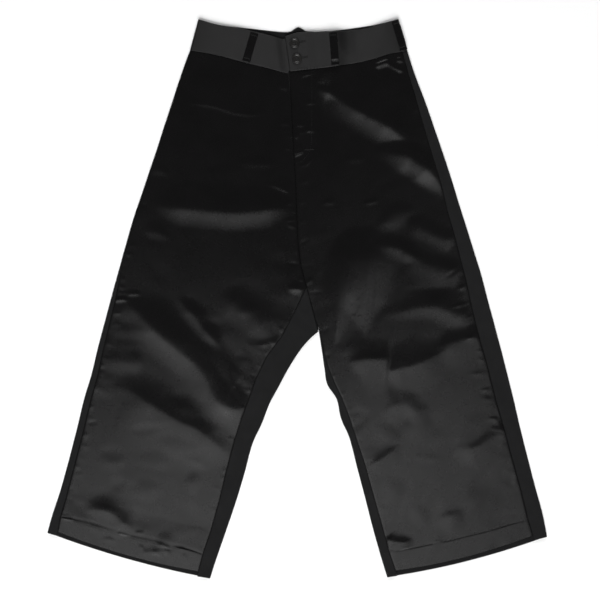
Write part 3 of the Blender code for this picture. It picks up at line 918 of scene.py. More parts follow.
@cache
def thread_weave() -> Tree:
    """Builds the weave's threads as a height, from places across and along the cloth in metres.

    Returns:
        The group.
    """
    numbers = ("Warp Threads", "Weft Threads", "Warp Float")
    nodes, source, result = new_group("thread weave", numbers, "Height")
    parts = nodes.add("ShaderNodeSeparateXYZ")
    nodes.link(source.outputs["Place"], parts.inputs[0])
    turn = 2 * math.pi
    across, along = (
        nodes.maths("MULTIPLY", nodes.maths("MULTIPLY", part, source.outputs[threads]), turn)
        for part, threads in zip(parts.outputs, numbers[:2])
    )
    slip = nodes.maths("MULTIPLY", nodes.maths("FLOOR", nodes.maths("DIVIDE", across, turn)), WEFT_SLIP)
    floated = nodes.maths("DIVIDE", along, source.outputs["Warp Float"])
    warp = nodes.maths("SINE", across)
    weft = nodes.maths("SINE", nodes.maths("ADD", floated, slip))
    height = nodes.maths(
        "ADD", nodes.maths("MULTIPLY", warp, WARP_SHARE), nodes.maths("MULTIPLY", weft, WEFT_SHARE)
    )
    nodes.link(height, result)
    return nodes.tree


@cache
def soft_clouds() -> Tree:
    """Builds the slow unevenness of a surface between two values.

    Returns:
        The group.
    """
    nodes, source, result = new_group("soft clouds", ("Scale", "Low", "High"), "Value")
    noise = nodes.add("ShaderNodeTexNoise", Detail=4.0, Roughness=0.6)
    spread = nodes.add("ShaderNodeMapRange", From_Min=0.3, From_Max=0.7)
    nodes.link(source.outputs["Place"], noise.inputs["Vector"])
    nodes.link(source.outputs["Scale"], noise.inputs["Scale"])
    nodes.link(noise.outputs["Fac"], spread.inputs["Value"])
    nodes.link(source.outputs["Low"], spread.inputs["To Min"])
    nodes.link(source.outputs["High"], spread.inputs["To Max"])
    nodes.link(spread.outputs["Result"], result)
    return nodes.tree


@dataclass(frozen=True)
class Finish:
    """A finish with no weave, such as horn or thread; its tone and roughness drift between low and high."""

    name: str
    low_tone: Tone
    high_tone: Tone
    low_roughness: float
    high_roughness: float
    specular: float
    cloud_scale: float

    # How much finer the roughness drifts than the tone.
    FINER = 1.7

    @cache
    def material(self) -> bpy.types.Material:
        """Builds the material, once.

        Returns:
            The material.
        """
        made = bpy.data.materials.new(self.name)
        made.use_nodes = True
        nodes = Nodes(made.node_tree)
        shader = made.node_tree.nodes["Principled BSDF"]
        shader.inputs["Specular IOR Level"].default_value = self.specular
        place = self.place(nodes)
        tone = nodes.group(soft_clouds(), place, Scale=self.cloud_scale, Low=0.0, High=1.0)
        finer = self.cloud_scale * self.FINER
        rough = nodes.group(
            soft_clouds(), place, Scale=finer, Low=self.low_roughness, High=self.high_roughness
        )
        mix = nodes.add(
            "ShaderNodeMix", data_type="RGBA", A=(*self.low_tone, 1.0), B=(*self.high_tone, 1.0)
        )
        nodes.link(tone.outputs["Value"], mix.inputs["Factor"])
        nodes.link(mix.outputs["Result"], shader.inputs["Base Color"])
        nodes.link(rough.outputs["Value"], shader.inputs["Roughness"])
        self.weave(nodes, shader, place)
        return made

    def place(self, nodes: Nodes) -> Socket:
        """Where on the piece the finish is read: in the piece's own space."""
        return nodes.add("ShaderNodeTexCoord").outputs["Object"]

    def weave(self, nodes: Nodes, shader: Node, place: Socket) -> None:
        """A finish like this one has no weave."""


@dataclass(frozen=True)
class ClothFinish(Finish):
    """A woven cloth's look, with its threads for each metre and their depth in millimetres."""

    anisotropy: float
    sheen: float
    warp_threads: float
    weft_threads: float
    warp_float: float
    thread_depth: float

    FINER = 2.7

    def place(self, nodes: Nodes) -> Socket:
        """Where on the cloth the finish is read: across and along the weave."""
        return nodes.add("ShaderNodeUVMap", uv_map="Weave").outputs["UV"]

    def weave(self, nodes: Nodes, shader: Node, place: Socket) -> None:
        """Adds the threads and the way in which they shine.

        Args:
            nodes: The builder for the material's nodes.
            shader: The material's shader.
            place: Where on the cloth it is read.
        """
        shader.inputs["Anisotropic"].default_value = self.anisotropy
        shader.inputs["Sheen Weight"].default_value = self.sheen
        shader.inputs["Sheen Roughness"].default_value = 0.5
        threads = nodes.group(
            thread_weave(),
            place,
            Warp_Threads=self.warp_threads,
            Weft_Threads=self.weft_threads,
            Warp_Float=self.warp_float,
        )
        bump = nodes.add("ShaderNodeBump", Strength=1.0, Distance=self.thread_depth * MM)
        nodes.link(threads.outputs["Height"], bump.inputs["Height"])
        nodes.link(bump.outputs["Normal"], shader.inputs["Normal"])
        if self.anisotropy:
            tangent = nodes.add("ShaderNodeTangent", direction_type="UV_MAP", uv_map="Weave")
            nodes.link(tangent.outputs["Tangent"], shader.inputs["Tangent"])


SATIN = ClothFinish(
    name="black satin",
    low_tone=(0.0046, 0.0045, 0.0046),
    high_tone=(0.0058, 0.0056, 0.0058),
    low_roughness=0.265,
    high_roughness=0.285,
    specular=0.2,
    anisotropy=0.86,
    sheen=0.0,
    warp_threads=3200.0,
    weft_threads=2400.0,
    warp_float=5.0,
    thread_depth=0.012,
    cloud_scale=14.0,
)
BAND_SATIN = replace(SATIN, name="black satin with stiffening", low_roughness=0.34, high_roughness=0.37)
MATTE_CLOTH = ClothFinish(
    name="matte black cloth",
    low_tone=(0.0072, 0.0072, 0.0075),
    high_tone=(0.0092, 0.0092, 0.0095),
    low_roughness=0.82,
    high_roughness=0.95,
    specular=0.12,
    anisotropy=0.0,
    sheen=0.02,
    warp_threads=1800.0,
    weft_threads=1600.0,
    warp_float=1.0,
    thread_depth=0.05,
    cloud_scale=20.0,
)
BAND_LINING = replace(
    MATTE_CLOTH,
    name="black waistband lining",
    low_tone=(0.006, 0.006, 0.0063),
    high_tone=(0.008, 0.008, 0.0084),
    low_roughness=0.85,
    specular=0.1,
    sheen=0.0,
    warp_threads=2200.0,
    weft_threads=2000.0,
    thread_depth=0.03,
)
HORN = Finish("black horn", (0.009, 0.009, 0.009), (0.018, 0.017, 0.016), 0.24, 0.32, 0.26, 260.0)
THREAD = Finish("black thread", (0.007, 0.007, 0.007), (0.013, 0.013, 0.013), 0.5, 0.65, 0.2, 900.0)
FLOOR = Finish("pale floor", (0.90, 0.90, 0.90), (0.91, 0.91, 0.91), 0.8, 0.9, 0.1, 2.0)


def dress(piece: Piece, slot: str, *finishes: Finish) -> None:
    """Gives a piece its materials and its body.

    Args:
        piece: The new piece.
        slot: Not used.
        finishes: Outside first, then the inside if it differs.
    """
    for finish in finishes:
        piece.data.materials.append(finish.material())
    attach(piece, BODY)


# Panels


class Laid:
    """The fine rows of one side of the laid garment, read between its sections."""

    STEP = 3.0

    def __init__(self, side: Side, table: Sequence[Section], fine_places: Sequence[float]) -> None:
        """Reads the rows.

        Args:
            side: The wearer's side.
            table: Its sections, from the hem up.
            fine_places: Section numbers that get closer rows.
        """
        self.side = side
        names = list(Section.__dataclass_fields__)
        values = np.array([[getattr(section, name) for name in names] for section in table], float)
        columns = dict(zip(names, values.T))
        places: list[float] = []
        for k, (row, after) in enumerate(zip(table, table[1:])):
            length = max(
                np.hypot(after.outer_x - row.outer_x, after.outer_y - row.outer_y),
                np.hypot(after.seam_x - row.seam_x, after.seam_y - row.seam_y),
            )
            count = math.ceil(length / self.STEP)
            places.extend(k + step / count for step in range(count))
        places.append(len(table) - 1)
        self.place = np.array(sorted({round(place, 5) for place in (*places, *fine_places)}))
        low = np.clip(np.floor(self.place).astype(int), 0, len(table) - 2)
        share = self.place - low
        read = {name: self._read(columns[name], low, share, name in CURVED_FIELDS) for name in names}
        self.outer = np.stack((read["outer_x"], read["outer_y"]), axis=1)
        self.seam = np.stack((read["seam_x"], read["seam_y"]), axis=1)
        self.fold = np.stack((read["fold_x"], read["fold_y"]), axis=1)
        fork = int(np.count_nonzero(~np.isnan(columns["fold_x"]))) - 1
        self.has_fold = self.place <= fork + TINY
        self.strip, self.half, self.bow = read["strip"], read["half"], read["bow"]
        self.inward = unit(self.seam - self.outer)
        self.outseam = self.outer + self.inward * self.strip[:, None]
        middle = (self.outer + self.seam) / 2
        self.warp = lengths_before(np.linalg.norm(np.diff(middle, axis=0), axis=1))

    def across(self, place: float, count: int = 40) -> list[Plan]:
        """Goes across the laid leg at one place between its sections.

        Args:
            place: The place, as a section's number.
            count: How many parts the way is divided into.

        Returns:
            The points from the side fold to the inner fold.
        """
        row = int(np.argmin(np.abs(self.place - place)))
        start, end = self.outer[row], self.fold[row]
        middle_start = self.outseam[row]
        middle = self.seam[row] - middle_start
        reach = float(np.linalg.norm(middle))
        found = []
        for k in range(count + 1):
            point = start + (end - start) * k / count
            share = float(np.clip(np.dot(point - middle_start, unit(middle)) / reach, 0.0, 1.0))
            on_line = middle_start + middle * share
            y = on_line[1] if 0.0 < share < 1.0 else point[1]
            found.append((float(point[0]), float(y) - hang(float(self.bow[row]), share)))
        return found

    @staticmethod
    def _read(column: Array, low: Array, share: Array, curved: bool) -> Array:
        """Reads one column between its sections, on a curve or on straight lines.

        Args:
            column: The values at the sections.
            low: The section below each row.
            share: How far each row is from it to the next.
            curved: Whether the column is a smooth curve.

        Returns:
            The value at each row.
        """
        first, last = column[low], column[low + 1]
        if not curved:
            at_section = share < TINY
            return np.where(at_section, first, first + (last - first) * np.where(at_section, 0.0, share))
        after = column[np.minimum(low + 2, len(column) - 1)]
        first_slope = np.where(low > 0, (last - column[np.maximum(low - 1, 0)]) / 2, last - first)
        last_slope = np.where(np.isnan(after), last - first, (after - first) / 2)
        return np.where(share < TINY, first, curve_value(first, last, first_slope, last_slope, share))


def around(edge: Array, inward: Array, run: Array, half: Array, along: Array) -> Array:
    """Goes round the fold at the laid garment's edge, one place for each row.

    Args:
        edge: The fold's outermost points.
        inward: The way in from there.
        run: The way on once the cloth lies level.
        half: The fold's radius.
        along: How far along the cloth from the outermost point; below 0 it is under.

    Returns:
        The places as x, y and z.
    """
    turn = np.clip(np.abs(along) / half, 0.0, QUARTER)
    beyond = np.maximum(0.0, np.abs(along) - half * QUARTER)
    plan = edge + inward * (half * (1 - np.cos(turn)))[:, None] + run * beyond[:, None]
    height = half + np.copysign(half * np.sin(turn), along)
    return np.column_stack((plan, height))


def seam_along(strip: Array, half: Array) -> Array:
    """How far along the cloth a seam is from the fold, from its distance in plan."""
    on_round = half * np.arccos(np.clip(1 - strip / half, -1.0, 1.0))
    return np.where(strip > half, half * QUARTER + strip - half, on_round)


SEAM_DEPTH = 0.75
SEAM_REACH = 2.4


def seam_roll(away: Array | float) -> Array:
    """How deep a panel's face sinks beside a seam, from the distance to it."""
    return edge_roll(away, SEAM_DEPTH, SEAM_REACH)


class Columns:
    """A panel's columns, which run up it, as they are added across it."""

    def __init__(self) -> None:
        """Starts with none."""
        self.points: list[Array] = []
        self.sides: list[Array] = []
        self.rolls: list[Array] = []

    def add(self, points: Array, side: Array, roll: Array) -> None:
        """Adds one column.

        Args:
            points: Its places, one for each row.
            side: How far across the cloth each is.
            roll: How deep each sinks beside a seam.
        """
        self.points.append(points)
        self.sides.append(side)
        self.rolls.append(roll)

    def weave(self, warp: Array) -> Array:
        """Gives the places in the weave, by row and column."""
        sides = np.stack(self.sides, axis=1)
        return np.stack((sides, np.broadcast_to(warp[:, None], sides.shape)), axis=2) * MM


@dataclass
class Panel:
    """One leg panel of cloth, with its turned-up hem."""

    laid: Laid
    lie: Lie
    band: Sequence[BandSection]
    wall: float = 0.8
    hem_gap: float = 0.1
    hem_steps: int = 5
    seat_places: float = 2.0

    FLOOR_CLEARANCE = 1.2
    # How far past the fold's round the outer seam rolls fully.
    ROLL_EASE = 3.0
    # The weave's way over one step round the hem's edge, in metres.
    HEM_WEAVE = 0.0002
    # Whether the outside of the panel's middle faces up.
    FACES_UP = True

    def outer_roll(self) -> Array:
        """How fully the outer seam rolls in each row: not at all where it is on the fold's round."""
        return smooth_step((self.laid.strip - self.laid.half) / self.ROLL_EASE)

    def lifted(self, columns: Columns) -> Array:
        """Raises places of the top cloth by the creases and sinks them beside seams.

        Args:
            columns: The panel's columns.

        Returns:
            The places by row and column.
        """
        laid = self.laid
        found = np.stack(columns.points, axis=1)
        x, y, z = found[..., 0], found[..., 1], found[..., 2]
        clear = np.hypot(x - laid.outer[:, None, 0], y - laid.outer[:, None, 1])
        inner = np.hypot(x - laid.fold[:, None, 0], y - laid.fold[:, None, 1])
        clear = np.fmin(clear, np.where(laid.has_fold[:, None], inner, np.nan)) - laid.half[:, None]
        to_band = band_edge(self.band, Edge.LOWER, x) - y
        top = z > 2 * laid.half[:, None] - SEAM_GAP
        lift = self.lie.height(x, y, clear, to_band) - np.stack(columns.rolls, axis=1)
        found[..., 2] = np.where(top, np.maximum(z + lift, self.FLOOR_CLEARANCE + self.wall), z)
        return found

    def hung(self, start: Array, end: Array, share: float) -> Array:
        """Goes a share of the way from start to end in each row, which hangs in a shallow bow."""
        plan = start + (end - start) * share
        return np.column_stack((plan[:, 0], plan[:, 1] - hang(self.laid.bow, share)))

    def seated(self, grid: Array) -> Array:
        """Moves the panel's top rows so that the last meets the waistband.

        Args:
            grid: The panel's places by row and column.

        Returns:
            The places, moved.
        """
        place, top = self.laid.place, grid[-1]
        share = smooth_step((place - (place[-1] - self.seat_places)) / self.seat_places)
        front = band_edge(self.band, Edge.LOWER, top[:, 0])
        back = band_edge(BAND_BACK, Edge.LOWER, top[:, 0])
        move = np.where(top[:, 2] > BAND_HALF, front, back) - SEAM_GAP - top[:, 1]
        grid = grid.copy()
        grid[:, :, 1] += share[:, None] * move[None, :]
        return grid

    def turned_up(self, rows: list[Array], weave: list[Array], count: int) -> None:
        """Adds the hem's turned-up cloth inside the first rows.

        Args:
            rows: The panel's rows from the hem's edge on, changed in place.
            weave: Their places in the weave, changed in place.
            count: How many rows the turned-up cloth reaches over.
        """
        grid = np.stack(rows[: count + 1])
        along = np.gradient(grid, axis=0)
        normal = unit(np.cross(np.gradient(grid, axis=1), along))
        if (normal[0, len(normal[0]) // 2, 2] > 0) != self.FACES_UP:
            normal = -normal
        radius = self.wall + self.hem_gap / 2
        inside = grid - normal * 2 * radius
        down = -unit(along[0])
        edge = grid[0] - normal[0] * radius
        turned, turned_weave = [], []
        for k in range(count, 0, -1):
            turned.append(inside[k])
            turned_weave.append(weave[0] - (weave[k] - weave[0]) * np.array((0.0, 1.0)))
        for step in range(self.hem_steps):
            angle = math.pi * (1 - step / self.hem_steps)
            turned.append(edge + radius * (normal[0] * math.cos(angle) + down * math.sin(angle)))
            turned_weave.append(weave[0] - np.array((0.0, self.HEM_WEAVE)) * (self.hem_steps - step))
        rows[:0] = turned
        weave[:0] = turned_weave


class FrontPanel(Panel):
    """A satin front."""

    EDGE_SHARES = (0.0, 0.1, 0.25, 0.5, 1.0)
    EDGE_WIDTH = 2.6
    MIDDLE = 92
    # The cut's widest place and its length with the turned-up hem, in metres.
    FLATS = {Side.RIGHT: (0.34, 0.94), Side.LEFT: (0.305, 0.945)}

    def columns(self) -> Columns:
        """Goes from the outer seam, over the top, to the inner one.

        Returns:
            The front's columns.
        """
        laid, found = self.laid, Columns()
        start = seam_along(laid.strip, laid.half) + SEAM_GAP / 2
        end = np.maximum(laid.half * QUARTER, start) + self.EDGE_WIDTH
        outer_roll = self.outer_roll()
        for share in self.EDGE_SHARES:
            along = start + (end - start) * share
            points = around(laid.outer, laid.inward, laid.inward, laid.half, along)
            found.add(points, along, seam_roll(along - start) * outer_roll)
        across = unit(laid.seam - laid.outseam)
        level = 2 * laid.half
        outer_end = found.points[-1][:, :2]
        inner_end = laid.seam - across * (SEAM_GAP / 2 + self.EDGE_WIDTH)
        width = np.linalg.norm(inner_end - outer_end, axis=1)
        for k in range(1, self.MIDDLE + 1):
            share = k / self.MIDDLE
            points = np.column_stack((self.hung(outer_end, inner_end, share), level))
            found.add(points, end + width * share, seam_roll(width * (1 - share) + self.EDGE_WIDTH))
        for share in self.EDGE_SHARES[-2::-1]:
            away = self.EDGE_WIDTH * share
            points = np.column_stack((laid.seam - across * (SEAM_GAP / 2 + away), level))
            roll = np.full(len(points), float(seam_roll(away)))
            found.add(points, end + width + self.EDGE_WIDTH - away, roll)
        return found

    def build(self) -> Piece:
        """Builds and dresses the front.

        Returns:
            The piece.
        """
        side, place, columns = self.laid.side, self.laid.place, self.columns()
        word, flat = side.name.lower(), self.FLATS[side]
        keep = place >= HEM_START - TINY
        rows = list(self.seated(self.lifted(columns))[keep])
        uvs = list(columns.weave(self.laid.warp)[keep])
        self.turned_up(rows, uvs, int(np.count_nonzero(place[keep] < HEM_SEAM)))
        piece = mesh_from_rows(f"satin_front_{word}", rows, uvs, side is Side.LEFT)
        waist = len(piece.data.vertices) - len(columns.points)
        for edge in piece.data.edges:
            edge.use_edge_sharp = min(edge.vertices) >= waist
        thicken(piece, self.wall)
        dress(piece, "satin", SATIN, MATTE_CLOTH)
        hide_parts(f"front_{word}")
        return piece


@dataclass(kw_only=True)
class BackPanel(Panel):
    """A matte back, which wraps round both folds onto the front; under is the lie of its hidden side."""

    under: Lie

    STRIP = 12
    ROUND = 12
    FLOOR = 36
    INNER_STRIP = 22
    # The strips' columns lie closer towards the seams.
    OUTER_CLOSING = 1.4
    INNER_CLOSING = 1.3
    # Where a strip ends, between the seam and the fold's underside.
    SEAM_SHARE = 0.6
    UNDERSIDE_SHARE = 0.4
    MOST_RUCKED = 2.6
    RUCK_EASE = 12.0
    FACES_UP = False
    FLATS = {Side.RIGHT: (0.48, 0.955), Side.LEFT: (0.37, 0.96)}

    def rucked(self, plan: Array, width: Array, share: float) -> Array:
        """How high the creases of the hidden side lift the cloth off the floor.

        Args:
            plan: Places on the floor, one for each row.
            width: The width of the floor's part in each row.
            share: How far across it the places are.

        Returns:
            The heights.
        """
        clear = np.minimum(share, 1 - share) * width
        creases = (*self.under.large, *self.under.fine)
        height = np.clip(self.under.gather(creases, plan[:, 0], plan[:, 1]), 0.0, self.MOST_RUCKED)
        return height * smooth_step(clear / self.RUCK_EASE)

    def centre_back(self) -> Array:
        """Finds where each row meets the centre back seam.

        Returns:
            The places as x and y.
        """
        laid = self.laid
        fork = laid.seam[np.count_nonzero(laid.has_fold) - 1, 1]
        share = np.clip((laid.seam[:, 1] - fork) / (laid.seam[-1, 1] - fork), 0.0, 1.0)
        places = CENTRE_BACK_FORK + (CENTRE_BACK_WAIST - CENTRE_BACK_FORK) * share[:, None]
        return places + np.array((laid.side.value * SEAM_GAP / 2, 0.0))

    def strip_end(self, seam: Array) -> Array:
        """Where the strip beside a seam ends and the rest of the fold's round begins."""
        quarter = self.laid.half * QUARTER
        return np.minimum(quarter, self.SEAM_SHARE * seam - self.UNDERSIDE_SHARE * quarter)

    def add_outer(self, columns: Columns) -> None:
        """Goes from the outer seam round the side fold to the floor.

        Args:
            columns: The back's columns, added to.
        """
        laid = self.laid
        quarter = laid.half * QUARTER
        start = seam_along(laid.strip, laid.half) - SEAM_GAP / 2
        bend = self.strip_end(start)
        outer_roll = self.outer_roll()
        for k in range(self.STRIP + self.ROUND + 1):
            if k <= self.STRIP:
                along = start + (bend - start) * (k / self.STRIP) ** self.OUTER_CLOSING
            else:
                along = bend + (-quarter - bend) * (k - self.STRIP) / self.ROUND
            points = around(laid.outer, laid.inward, laid.inward, laid.half, along)
            columns.add(points, start - along, seam_roll(start - along) * outer_roll)

    def add_floor(self, columns: Columns, end: Array) -> None:
        """Goes across the floor.

        Args:
            columns: The back's columns, added to.
            end: Where each row leaves the floor.
        """
        start, before = columns.points[-1][:, :2], columns.sides[-1]
        width = np.linalg.norm(end - start, axis=1)
        for k in range(1, self.FLOOR + 1):
            plan = self.hung(start, end, k / self.FLOOR)
            points = np.column_stack((plan, self.rucked(plan, width, k / self.FLOOR)))
            columns.add(points, before + width * k / self.FLOOR, np.zeros(len(plan)))

    def add_inner(self, columns: Columns, outward: Array, base: Array) -> None:
        """Goes round the inner fold and over to the inner seam.

        Args:
            columns: The back's columns, added to.
            outward: The way from the inner fold back across the leg.
            base: Where each row leaves the floor.
        """
        laid = self.laid
        quarter = laid.half * QUARTER
        before = columns.sides[-1]
        to_seam = laid.seam - base
        strip = np.linalg.norm(laid.seam - laid.fold, axis=1)
        level = quarter + np.linalg.norm(to_seam, axis=1)
        far = np.where(strip > laid.half, level, seam_along(strip, laid.half)) - SEAM_GAP / 2
        bend = self.strip_end(far)
        for k in range(1, self.ROUND + self.INNER_STRIP + 1):
            if k <= self.ROUND:
                along = -quarter + (bend + quarter) * k / self.ROUND
            else:
                left = (1 - (k - self.ROUND) / self.INNER_STRIP) ** self.INNER_CLOSING
                along = bend + (far - bend) * (1 - left)
            points = around(laid.fold, outward, unit(to_seam), laid.half, along)
            columns.add(points, before + along + quarter, seam_roll(far - along))

    def build(self) -> Piece:
        """Builds and dresses the back.

        Returns:
            The piece.
        """
        laid, columns = self.laid, Columns()
        word, flat = laid.side.name.lower(), self.FLATS[laid.side]
        has_fold = laid.has_fold[:, None]
        outward = unit(laid.outer - np.where(has_fold, laid.fold, 0.0))
        base = laid.fold + outward * laid.half[:, None]
        self.add_outer(columns)
        self.add_floor(columns, np.where(has_fold, base, self.centre_back()))
        upper_count = len(columns.points)
        self.add_inner(columns, outward, base)
        grid = self.lifted(columns)
        grid[:, :upper_count] = self.seated(grid[:, :upper_count])
        weave = columns.weave(laid.warp)
        counts = np.where(laid.has_fold, len(columns.points), upper_count)
        rows = [row[:count] for row, count in zip(grid, counts)]
        uvs = [row[:count] for row, count in zip(weave, counts)]
        self.turned_up(rows, uvs, int(np.count_nonzero(laid.place < HEM_SEAM)))
        piece = mesh_from_rows(f"matte_back_{word}", rows, uvs, laid.side is Side.RIGHT)
        thicken(piece, self.wall)
        dress(piece, "matte_cloth", MATTE_CLOTH, MATTE_CLOTH)
        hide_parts(f"back_{word}")
        return piece


# The waistband and its belt loops

LOOP_WIDTH = 14.0
LOOP_WALL = 1.2
COLUMN_STEP = 0.9
FLOOR_STEP = 3.0
FOLD_COLUMNS = 7


class LoopPlace(Enum):
    """Where a belt loop lies."""

    FRONT = "front"
    HIDDEN = "hidden"
    FOLD = "fold"


@dataclass(frozen=True)
class BeltLoop:
    """A belt loop between the middles of its lower and upper ends, with both ends turned under."""

    name: str
    node: str
    rests_on: str
    place: LoopPlace
    lower_x: float
    lower_y: float
    upper_x: float
    upper_y: float
    raised: float = 0.0
    hump: float = 0.0
    wall: float = 0.45
    depth: float = 1.05
    turned: float = 7.0
    tack: float = 6.0
    bulge: float = 0.75

    HUMP_PLACE = 12.0
    HUMP_REACH = 4.5
    # Places across the strip.
    EDGE_PLACES = (0.0, 0.2, 0.7)
    MIDDLE_PLACES = (-5.0, -3.0, -1.0, 1.0, 3.0, 5.0)
    FOLD_PLACES = (-1.5, -3.0, -5.0, -7.0, -8.2, -8.8, -9.0)
    FOLD_TURNS = (38.0, 90.0)
    ROLL = (0.3, 0.8)
    # Places along the strip, room for its ends' curl, and its rows' distance.
    UNDER_PLACES = (5.0, 3.0)
    CURL = 1.2
    STEP = 1.5
    # The bulge everywhere, more in the strip's middle, and at the lips past the tacks.
    BULGE_SHARES = (0.4, 0.6, 0.3)
    BULGE_EASE = 7.0
    LIP_ROOM = 1.5
    OUTSIDE_DEPTH = 0.2

    def section(self) -> tuple[Array, Array, Array]:
        """Gives the outside of a cross-section.

        Returns:
            Its points as aside and up, and the way out at each.
        """
        if self.place is LoopPlace.FOLD:
            radius = BAND_HALF + 2 * SEAM_GAP + LOOP_WALL
            turns = np.radians(np.linspace(*self.FOLD_TURNS, 12))
            level = len(self.FOLD_PLACES)
            aside = np.concatenate((radius * np.cos(turns), self.FOLD_PLACES))
            up = BAND_HALF + np.concatenate((radius * np.sin(turns), np.full(level, radius)))
            out_aside = np.append(np.cos(turns), np.zeros(level))
            out = np.column_stack((out_aside, np.append(np.sin(turns), np.ones(level))))
        else:
            half = LOOP_WIDTH / 2
            low_edge = [-half + place for place in self.EDGE_PLACES]
            high_edge = [half - place for place in self.EDGE_PLACES[::-1]]
            aside = np.array((*low_edge, *self.MIDDLE_PLACES, *high_edge))
            front = self.place is LoopPlace.FRONT
            top = 2 * BAND_HALF + SEAM_GAP + LOOP_WALL + self.raised
            up = np.full(len(aside), top if front else 0.0)
            out = np.column_stack((np.zeros(len(aside)), np.full(len(aside), 1.0 if front else -1.0)))
        near = np.minimum(np.abs(aside - aside[0]), np.abs(aside - aside[-1]))
        roll = edge_roll(near, *self.ROLL)
        return aside - out[:, 0] * roll, up - out[:, 1] * roll, out

    def lengthwise(self) -> tuple[Array, Array]:
        """Gives the strip's way along the loop, with both turned-under ends.

        Returns:
            Its points' way from the lower end and their depth.
        """
        length = math.hypot(self.upper_x - self.lower_x, self.upper_y - self.lower_y)
        radius = self.depth / 2
        turns = np.linspace(0.0, math.pi, 7)
        start = [(place, self.depth) for place in (self.turned, *self.UNDER_PLACES, self.CURL)]
        start += [(radius - radius * math.sin(turn), radius + radius * math.cos(turn)) for turn in turns]
        level = length - 2 * self.CURL
        count = round(level / self.STEP)
        outside = [(self.CURL + level * k / count, 0.0) for k in range(count + 1)]
        end = [(length - place, depth) for place, depth in start[::-1]]
        places, depths = np.array(start + outside + end).T
        return places, depths

    def build(self) -> Piece:
        """Builds and dresses the loop.

        Returns:
            The piece.
        """
        low, high = np.array((self.lower_x, self.lower_y)), np.array((self.upper_x, self.upper_y))
        length = float(np.linalg.norm(high - low))
        way = (high - low) / length
        aside_way = np.array((way[1], -way[0]))
        aside, up, out = self.section()
        places, depths = self.lengthwise()
        run = lengths_before(np.hypot(np.diff(places), np.diff(depths)))
        to_end = np.minimum(places, length - places)
        clear = np.clip((to_end - self.tack) / self.BULGE_EASE, 0.0, 1.0)
        lip = np.clip(1 - to_end / (self.tack - self.LIP_ROOM), 0.0, 1.0)
        middle = 1 - (aside / np.abs(aside).max()) ** 2
        most = 0.0 if self.place is LoopPlace.HIDDEN else self.bulge
        everywhere, in_middle, at_lip = self.BULGE_SHARES
        rows, weave = [], []
        for place, depth, passed, share, edge in zip(places, depths, run, clear, lip):
            risen = float(smooth_step(share)) * (everywhere + in_middle * middle)
            bulge = most * (risen + at_lip * float(smooth_step(edge)))
            bulge += self.hump * math.exp(-(((place - self.HUMP_PLACE) / self.HUMP_REACH) ** 2))
            bulge = np.where(depth > self.OUTSIDE_DEPTH, 0.0, bulge)
            base = low + way * place
            out_by = aside + out[:, 0] * (bulge - depth)
            height = up + out[:, 1] * (bulge - depth)
            rows.append(np.column_stack((base + aside_way * out_by[:, None], height)))
            weave.append(np.column_stack((aside, np.full(len(aside), passed))) * MM)
        piece = mesh_from_rows(self.name, rows, weave, self.place is not LoopPlace.FRONT)
        thicken(piece, self.wall)
        dress(piece, "satin", SATIN)
        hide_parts(self.node)
        return piece


def fold_place(share: float) -> Plan:
    """The middle of the fold at the left end of the waistband, part of the way up it."""
    low_x, low_y, high_x, high_y = astuple(BAND_LEFT[0])
    return low_x + (high_x - low_x) * share - BAND_HALF, low_y + (high_y - low_y) * share


FOLD_LOOP_ENDS = (*fold_place(0.03), *fold_place(0.97))
FRONT, HIDDEN, FOLD = LoopPlace
LOOPS = (
    BeltLoop(
        "belt_loop_front_right", "loop_front_right", "satin_band_right", FRONT, -92.0, 425.5, -76.5, 478.0
    ),
    BeltLoop(
        "belt_loop_front_left",
        "loop_front_left",
        "satin_band_left",
        FRONT,
        *(68.5, 419.0, 64.0, 478.5),
        raised=2.5,
        hump=1.1,
    ),
    BeltLoop("belt_loop_side_left", "loop_side_left", "satin_band_left", FOLD, *FOLD_LOOP_ENDS),
    BeltLoop(
        "belt_loop_side_right", "loop_side_right", "satin_band_back", HIDDEN, -168.0, 443.0, -161.2, 494.0
    ),
    BeltLoop("belt_loop_centre_back", "loop_centre_back", "satin_band_back", HIDDEN, 2.0, 421.0, 2.0, 483.0),
)

# The laid waistband rises under its left front loop, is dented beside it, and has ticks over its lower seam.
SEAM_TICKS = (8, 14, 19, 25, 32, 38)
TICK_LEAN = 0.6
BAND_LEFT_CREASES = (
    Crease(((71, 405), (68, 450), (65, 498)), 2.5, 44, 26, 0.05, 0.05, 0.35),
    Crease(((114, 422), (110, 450), (106, 494)), -3.0, 36, 50, 0.6, 0.03, 0.2, 1.3),
    *(
        Crease(((x + TICK_LEAN, 408), (x, 414), (x - TICK_LEAN, 420)), -0.4, 1.8, 1.8, 0.1, 0.5, 0.3)
        for x in SEAM_TICKS
    ),
)


